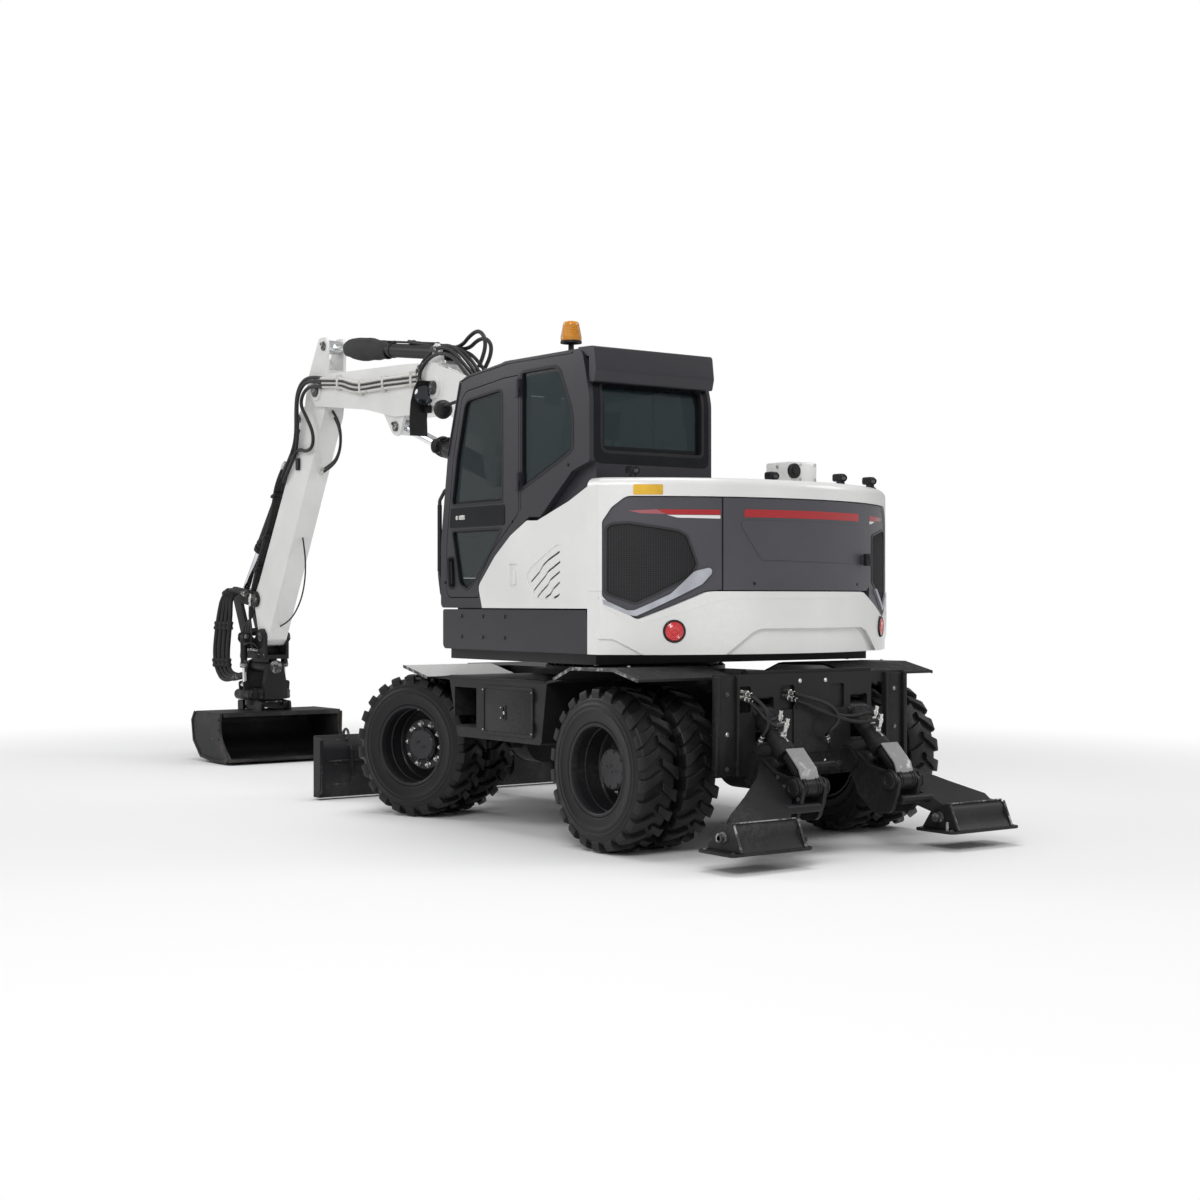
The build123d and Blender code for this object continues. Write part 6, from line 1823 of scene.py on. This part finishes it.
def dress_tool():
    """Bolts and valve block of the coupler, with the hoses down to it."""
    form = Form()
    for x in (6.09, 6.2, 6.5, 6.61):
        form.bolts([(x, BOOM_Y + hand * 0.118, 1.052) for hand in (1, -1)], (0, 0, 1), 0.026)
    form.bolts([(6.64, BOOM_Y + dy, 1.03) for dy in (-0.1, 0.0, 0.1)], (1, 0, 0), 0.022)
    form.piece("coupler_bolts", ZINC, "coupler")
    valves = Form().block((6.2, BOOM_Y - 0.09, 1.052), (6.46, BOOM_Y + 0.09, 1.13), edge=0.01)
    for dx in (0.03, 0.09, 0.15, 0.21):
        valves.turned((6.2 + dx, BOOM_Y + 0.09, 1.092), (0, 1, 0), (
            (0, 0.016), (0.018, 0.016), (0.02, 0.012), (0.036, 0.012), (0.036, 0)
        ), 6)
    valves.piece("valve_block", BLACK, "coupler")
    tool_hoses = []
    for index in range(4):
        x = 6.23 + index * 0.06
        tool_hoses.append([
            (x, BOOM_Y + 0.125, 1.092), (x + 0.01, BOOM_Y + 0.185, 1.1),
            (x + 0.06, BOOM_Y + 0.175, 1.2 + index * 0.02), (x + 0.1, BOOM_Y + 0.15, 1.33),
            (6.44 + index * 0.014, 0.045 - index * 0.03, 1.46),
            (6.4 + index * 0.01, 0.044 - index * 0.032, 1.585)
        ])
    hoses("tool_hoses", tool_hoses, 0.012, "coupler", ends=ZINC)


def dress_bundle():
    """Hanging bundle of four hoses with sleeves."""
    # Middle line of the bundle, and how far its hoses spread along X, Y and Z there
    way = (
        (6.43, 0.02, 1.64, 0, 0.4, 0), (6.6, 0.09, 1.72, 0.3, 0.4, 0), (6.745, 0.14, 1.64, 0.5, 0.3, 0),
        (6.745, 0.16, 1.46, 0.8, 0.4, 0), (6.755, 0.175, 1.26, 1.0, 0.4, 0), (6.775, 0.185, 1.06, 1.0, 0.4, 0),
        (6.745, 0.185, 0.9, 0.9, 0.4, 0), (6.65, 0.155, 0.8, 0.5, 0.4, -0.5), (6.48, 0.11, 0.83, 0, 0.4, 0)
    )
    bundle = [
        [(x + off * dx, y + off * dy, z + off * dz) for x, y, z, dx, dy, dz in way]
        for off in (-0.07, -0.015, 0.04, 0.095)
    ]
    hoses("tool_bundle", bundle, 0.023, "coupler", ends=WORN_STEEL)
    sleeves = Form()
    for run in bundle:
        for low, high in ((1, 2), (3, 4), (5, 6)):
            way = (Vector(run[high]) - Vector(run[low])).normalized()
            spot = (Vector(run[low]) * 3 + Vector(run[high]) * 5) / 8
            sleeves.turned(spot, way, (
                (-0.042, 0.02), (-0.04, 0.034), (-0.014, 0.036), (-0.012, 0.03), (0.012, 0.03), (0.014, 0.036),
                (0.04, 0.034), (0.042, 0.02)
            ), 20)
    sleeves.piece("tool_bundle_sleeves", CANVAS, "coupler", "tyre")


def dress_rotator():
    """Fittings of the tilt cylinders, the tilting rotator and the hitch."""
    for place, hand in (("left", 1), ("right", -1)):
        foot = Vector((ROTOR_X, BOOM_Y + hand * 0.225, 1.23))
        eye = Vector((ROTOR_X, BOOM_Y + hand * 0.215, 0.75))
        run = (eye - foot).normalized()
        cyl = Form().turned(foot + run * 0.309, run, (
            (-0.04, 0.034), (-0.04, 0.042), (-0.004, 0.042), (0.002, 0.036), (0.003, 0.022)
        ), 32)
        for reach in (0.07, 0.25):
            spot = foot + run * reach + Vector((-0.034, 0, 0))
            cyl.block(spot - Vector((0.016, 0.016, 0.016)), spot + Vector((0.01, 0.016, 0.016)), edge=0.004)
            cyl.turned(spot - Vector((0.014, 0, 0)), (-1, 0, 0), (
                (0, 0.011), (0.016, 0.011), (0.018, 0.008), (0.026, 0.008), (0.026, 0)
            ), 6)
        for fore in (1, -1):
            cyl.turned(
                foot + Vector((fore * 0.042, 0, 0)), (fore, 0, 0),
                ((0, 0.024), (0.03, 0.024), (0.034, 0.02), (0.034, 0)), 24
            )
        cyl.piece(f"tilt_fittings_{place}", WORN_STEEL, f"tilt_barrel_{place}")
        hoses(f"tilt_hoses_{place}", [[
            foot + run * 0.07 + Vector((-0.075, 0, 0)), foot + Vector((-0.13, -hand * 0.02, -0.05)),
            (6.17, BOOM_Y + hand * 0.15, 1.12), (6.19, BOOM_Y + hand * 0.1, 1.09)
        ]], 0.008, "coupler")
    rotor = Form().turned((ROTOR_X, BOOM_Y, 0.69), (0, 0, 1), (
        (-0.001, 0.252), (0.006, 0.25), (0.012, 0.24), (0.012, 0.15), (0.02, 0.145), (0.02, 0.11)
    ), 64)
    rotor.bolts(circle((ROTOR_X, BOOM_Y, 0.7), "Z", 0.222, 18), (0, 0, 1), 0.018, washer=False)
    rotor.turned((ROTOR_X, BOOM_Y, 0.65), (0, 0, 1), (
        (-0.034, 0.2565), (-0.026, 0.2595), (-0.016, 0.2565), (0.016, 0.2565), (0.026, 0.2595), (0.034, 0.2565)
    ), 96)
    rotor.rod((6.18, BOOM_Y + 0.2, 0.65), (6.52, BOOM_Y + 0.2, 0.65), 0.052)
    rotor.turned((6.17, BOOM_Y + 0.2, 0.65), (-1, 0, 0), (
        (0, 0.046), (0.025, 0.046), (0.03, 0.038), (0.03, 0.02), (0.045, 0.018), (0.045, 0)
    ), 32)
    rotor.piece("rotor_housing", BLACK, "tilt_body")
    disc = Form().turned((6.082, BOOM_Y, 0.93), (-1, 0, 0), (
        (0, 0.066), (0.006, 0.066), (0.01, 0.06), (0.01, 0.024), (0.016, 0.022), (0.016, 0)
    ), 40)
    disc.bolts(circle((6.076, BOOM_Y, 0.93), "X", 0.044, 6), (-1, 0, 0), 0.014, washer=False)
    disc.turned((6.618, BOOM_Y, 0.93), (1, 0, 0), ((0, 0.066), (0.006, 0.066), (0.01, 0.06), (0.01, 0)), 40)
    disc.piece("tilt_caps", WORN_STEEL, "tilt_body")
    lock = Form()
    for hand in (1, -1):
        y = BOOM_Y + hand * 0.152
        for x in (6.16, 6.535):
            lock.turned((x, y, 0.548), (0, hand, 0), (
                (-0.004, 0.03), (0.012, 0.03), (0.016, 0.026), (0.016, 0)
            ), 28)
    lock.block((6.128, BOOM_Y - 0.09, 0.575), (6.15, BOOM_Y + 0.09, 0.59), edge=0.003)
    lock.piece("hitch_pins", WORN_STEEL, "tool", "chrome")


def dress_bucket():
    """Edges and liners of the bucket."""
    lips = Form()
    low, high = BOOM_Y - 0.65, BOOM_Y + 0.65
    lips.block((5.735, low, 0.028), (5.9, high, 0.0545), edge=0.006, turn=Matrix.Rotation(0.02, 3, "Y"))
    for hand in (1, -1):
        y = BOOM_Y + hand * 0.652
        rows = ((5.752, 0.04), (5.82, 0.038), (6.0, 0.285), (5.975, 0.48), (5.935, 0.48), (5.945, 0.285))
        lips.sheet(soft([(u, v, 0.02) for u, v in rows]), on_side(y, hand), -0.004, 0.012)
        lips.bolts([(5.965, y + hand * 0.012, z) for z in (0.24, 0.33, 0.43)], (0, hand, 0), 0.024)
        rim = ((6.56, 0.485), (6.628, 0.4), (6.59, 0.205), (6.42, 0.058), (6.1, 0.026), (5.8, 0.034))
        lips.ribbon(rim, 0.03, on_side(y, hand), -0.003, 0.006)
    lips.piece("bucket_edges", WORK, "tool", edge=0.003)
    liners = Form()
    for y in (-0.42, -0.08, 0.26):
        liners.block((5.985, y - 0.03, 0.462), (6.5, y + 0.03, 0.476), edge=0.003)
    liners.block((5.945, low + 0.03, 0.452), (5.975, high - 0.03, 0.492), edge=0.004)
    liners.piece("bucket_liners", WORK, "tool")


def dress_blade():
    """Edge, bolts and rings of the dozer blade."""
    knife = Form().block((2.596, -1.262, 0.022), (2.614, 1.262, 0.13), edge=0.004)
    knife.bolts([(2.614, y / 10, 0.095) for y in range(-12, 13, 3)], (1, 0, 0), 0.03)
    for hand in (1, -1):
        for rim in (((2.484, 0.075), (2.485, 0.47)), ((2.5, 0.07), (2.594, 0.03))):
            knife.ribbon(rim, 0.012, on_side(hand * 1.27, hand), 0, 0.004)
    knife.block((2.478, -1.2, 0.3), (2.494, 1.2, 0.318), edge=0.004)
    for y in (-1.0, -0.55, 0.55, 1.0):
        knife.sheet(((2.495, 0.1), (2.495, 0.44), (2.46, 0.4), (2.44, 0.16)), on_side(y - 0.008), 0, 0.016)
    knife.piece("blade_edge", BLADE_STEEL, "blade", edge=0.002)
    hooks = Form()
    for hand in (1, -1):
        ring = [(0.011 * cos(tau * k / 10), 0.04 + 0.011 * sin(tau * k / 10)) for k in range(10)]
        hooks.turned((2.56, hand * 1.0, 0.515), (0, 1, 0), ring, 28, loop=True)
    hooks.piece("blade_rings", WORN_STEEL, "blade")


set_camera()
lay_floor()
set_lights()
dress_nodes()
dress_wheels()
dress_house()
dress_hood()
dress_covers()
dress_side()
dress_roof()
dress_tail()
dress_cab()
furnish_cab()
dress_chassis()
dress_boxes()
dress_rear_plate()
dress_drive()
dress_stabilisers()
dress_boom()
dress_cylinders()
dress_lines()
dress_boom_trim()
dress_arm()
dress_tool()
dress_bundle()
dress_rotator()
dress_bucket()
dress_blade()

bpy.context.scene.view_settings.view_transform = "Standard"
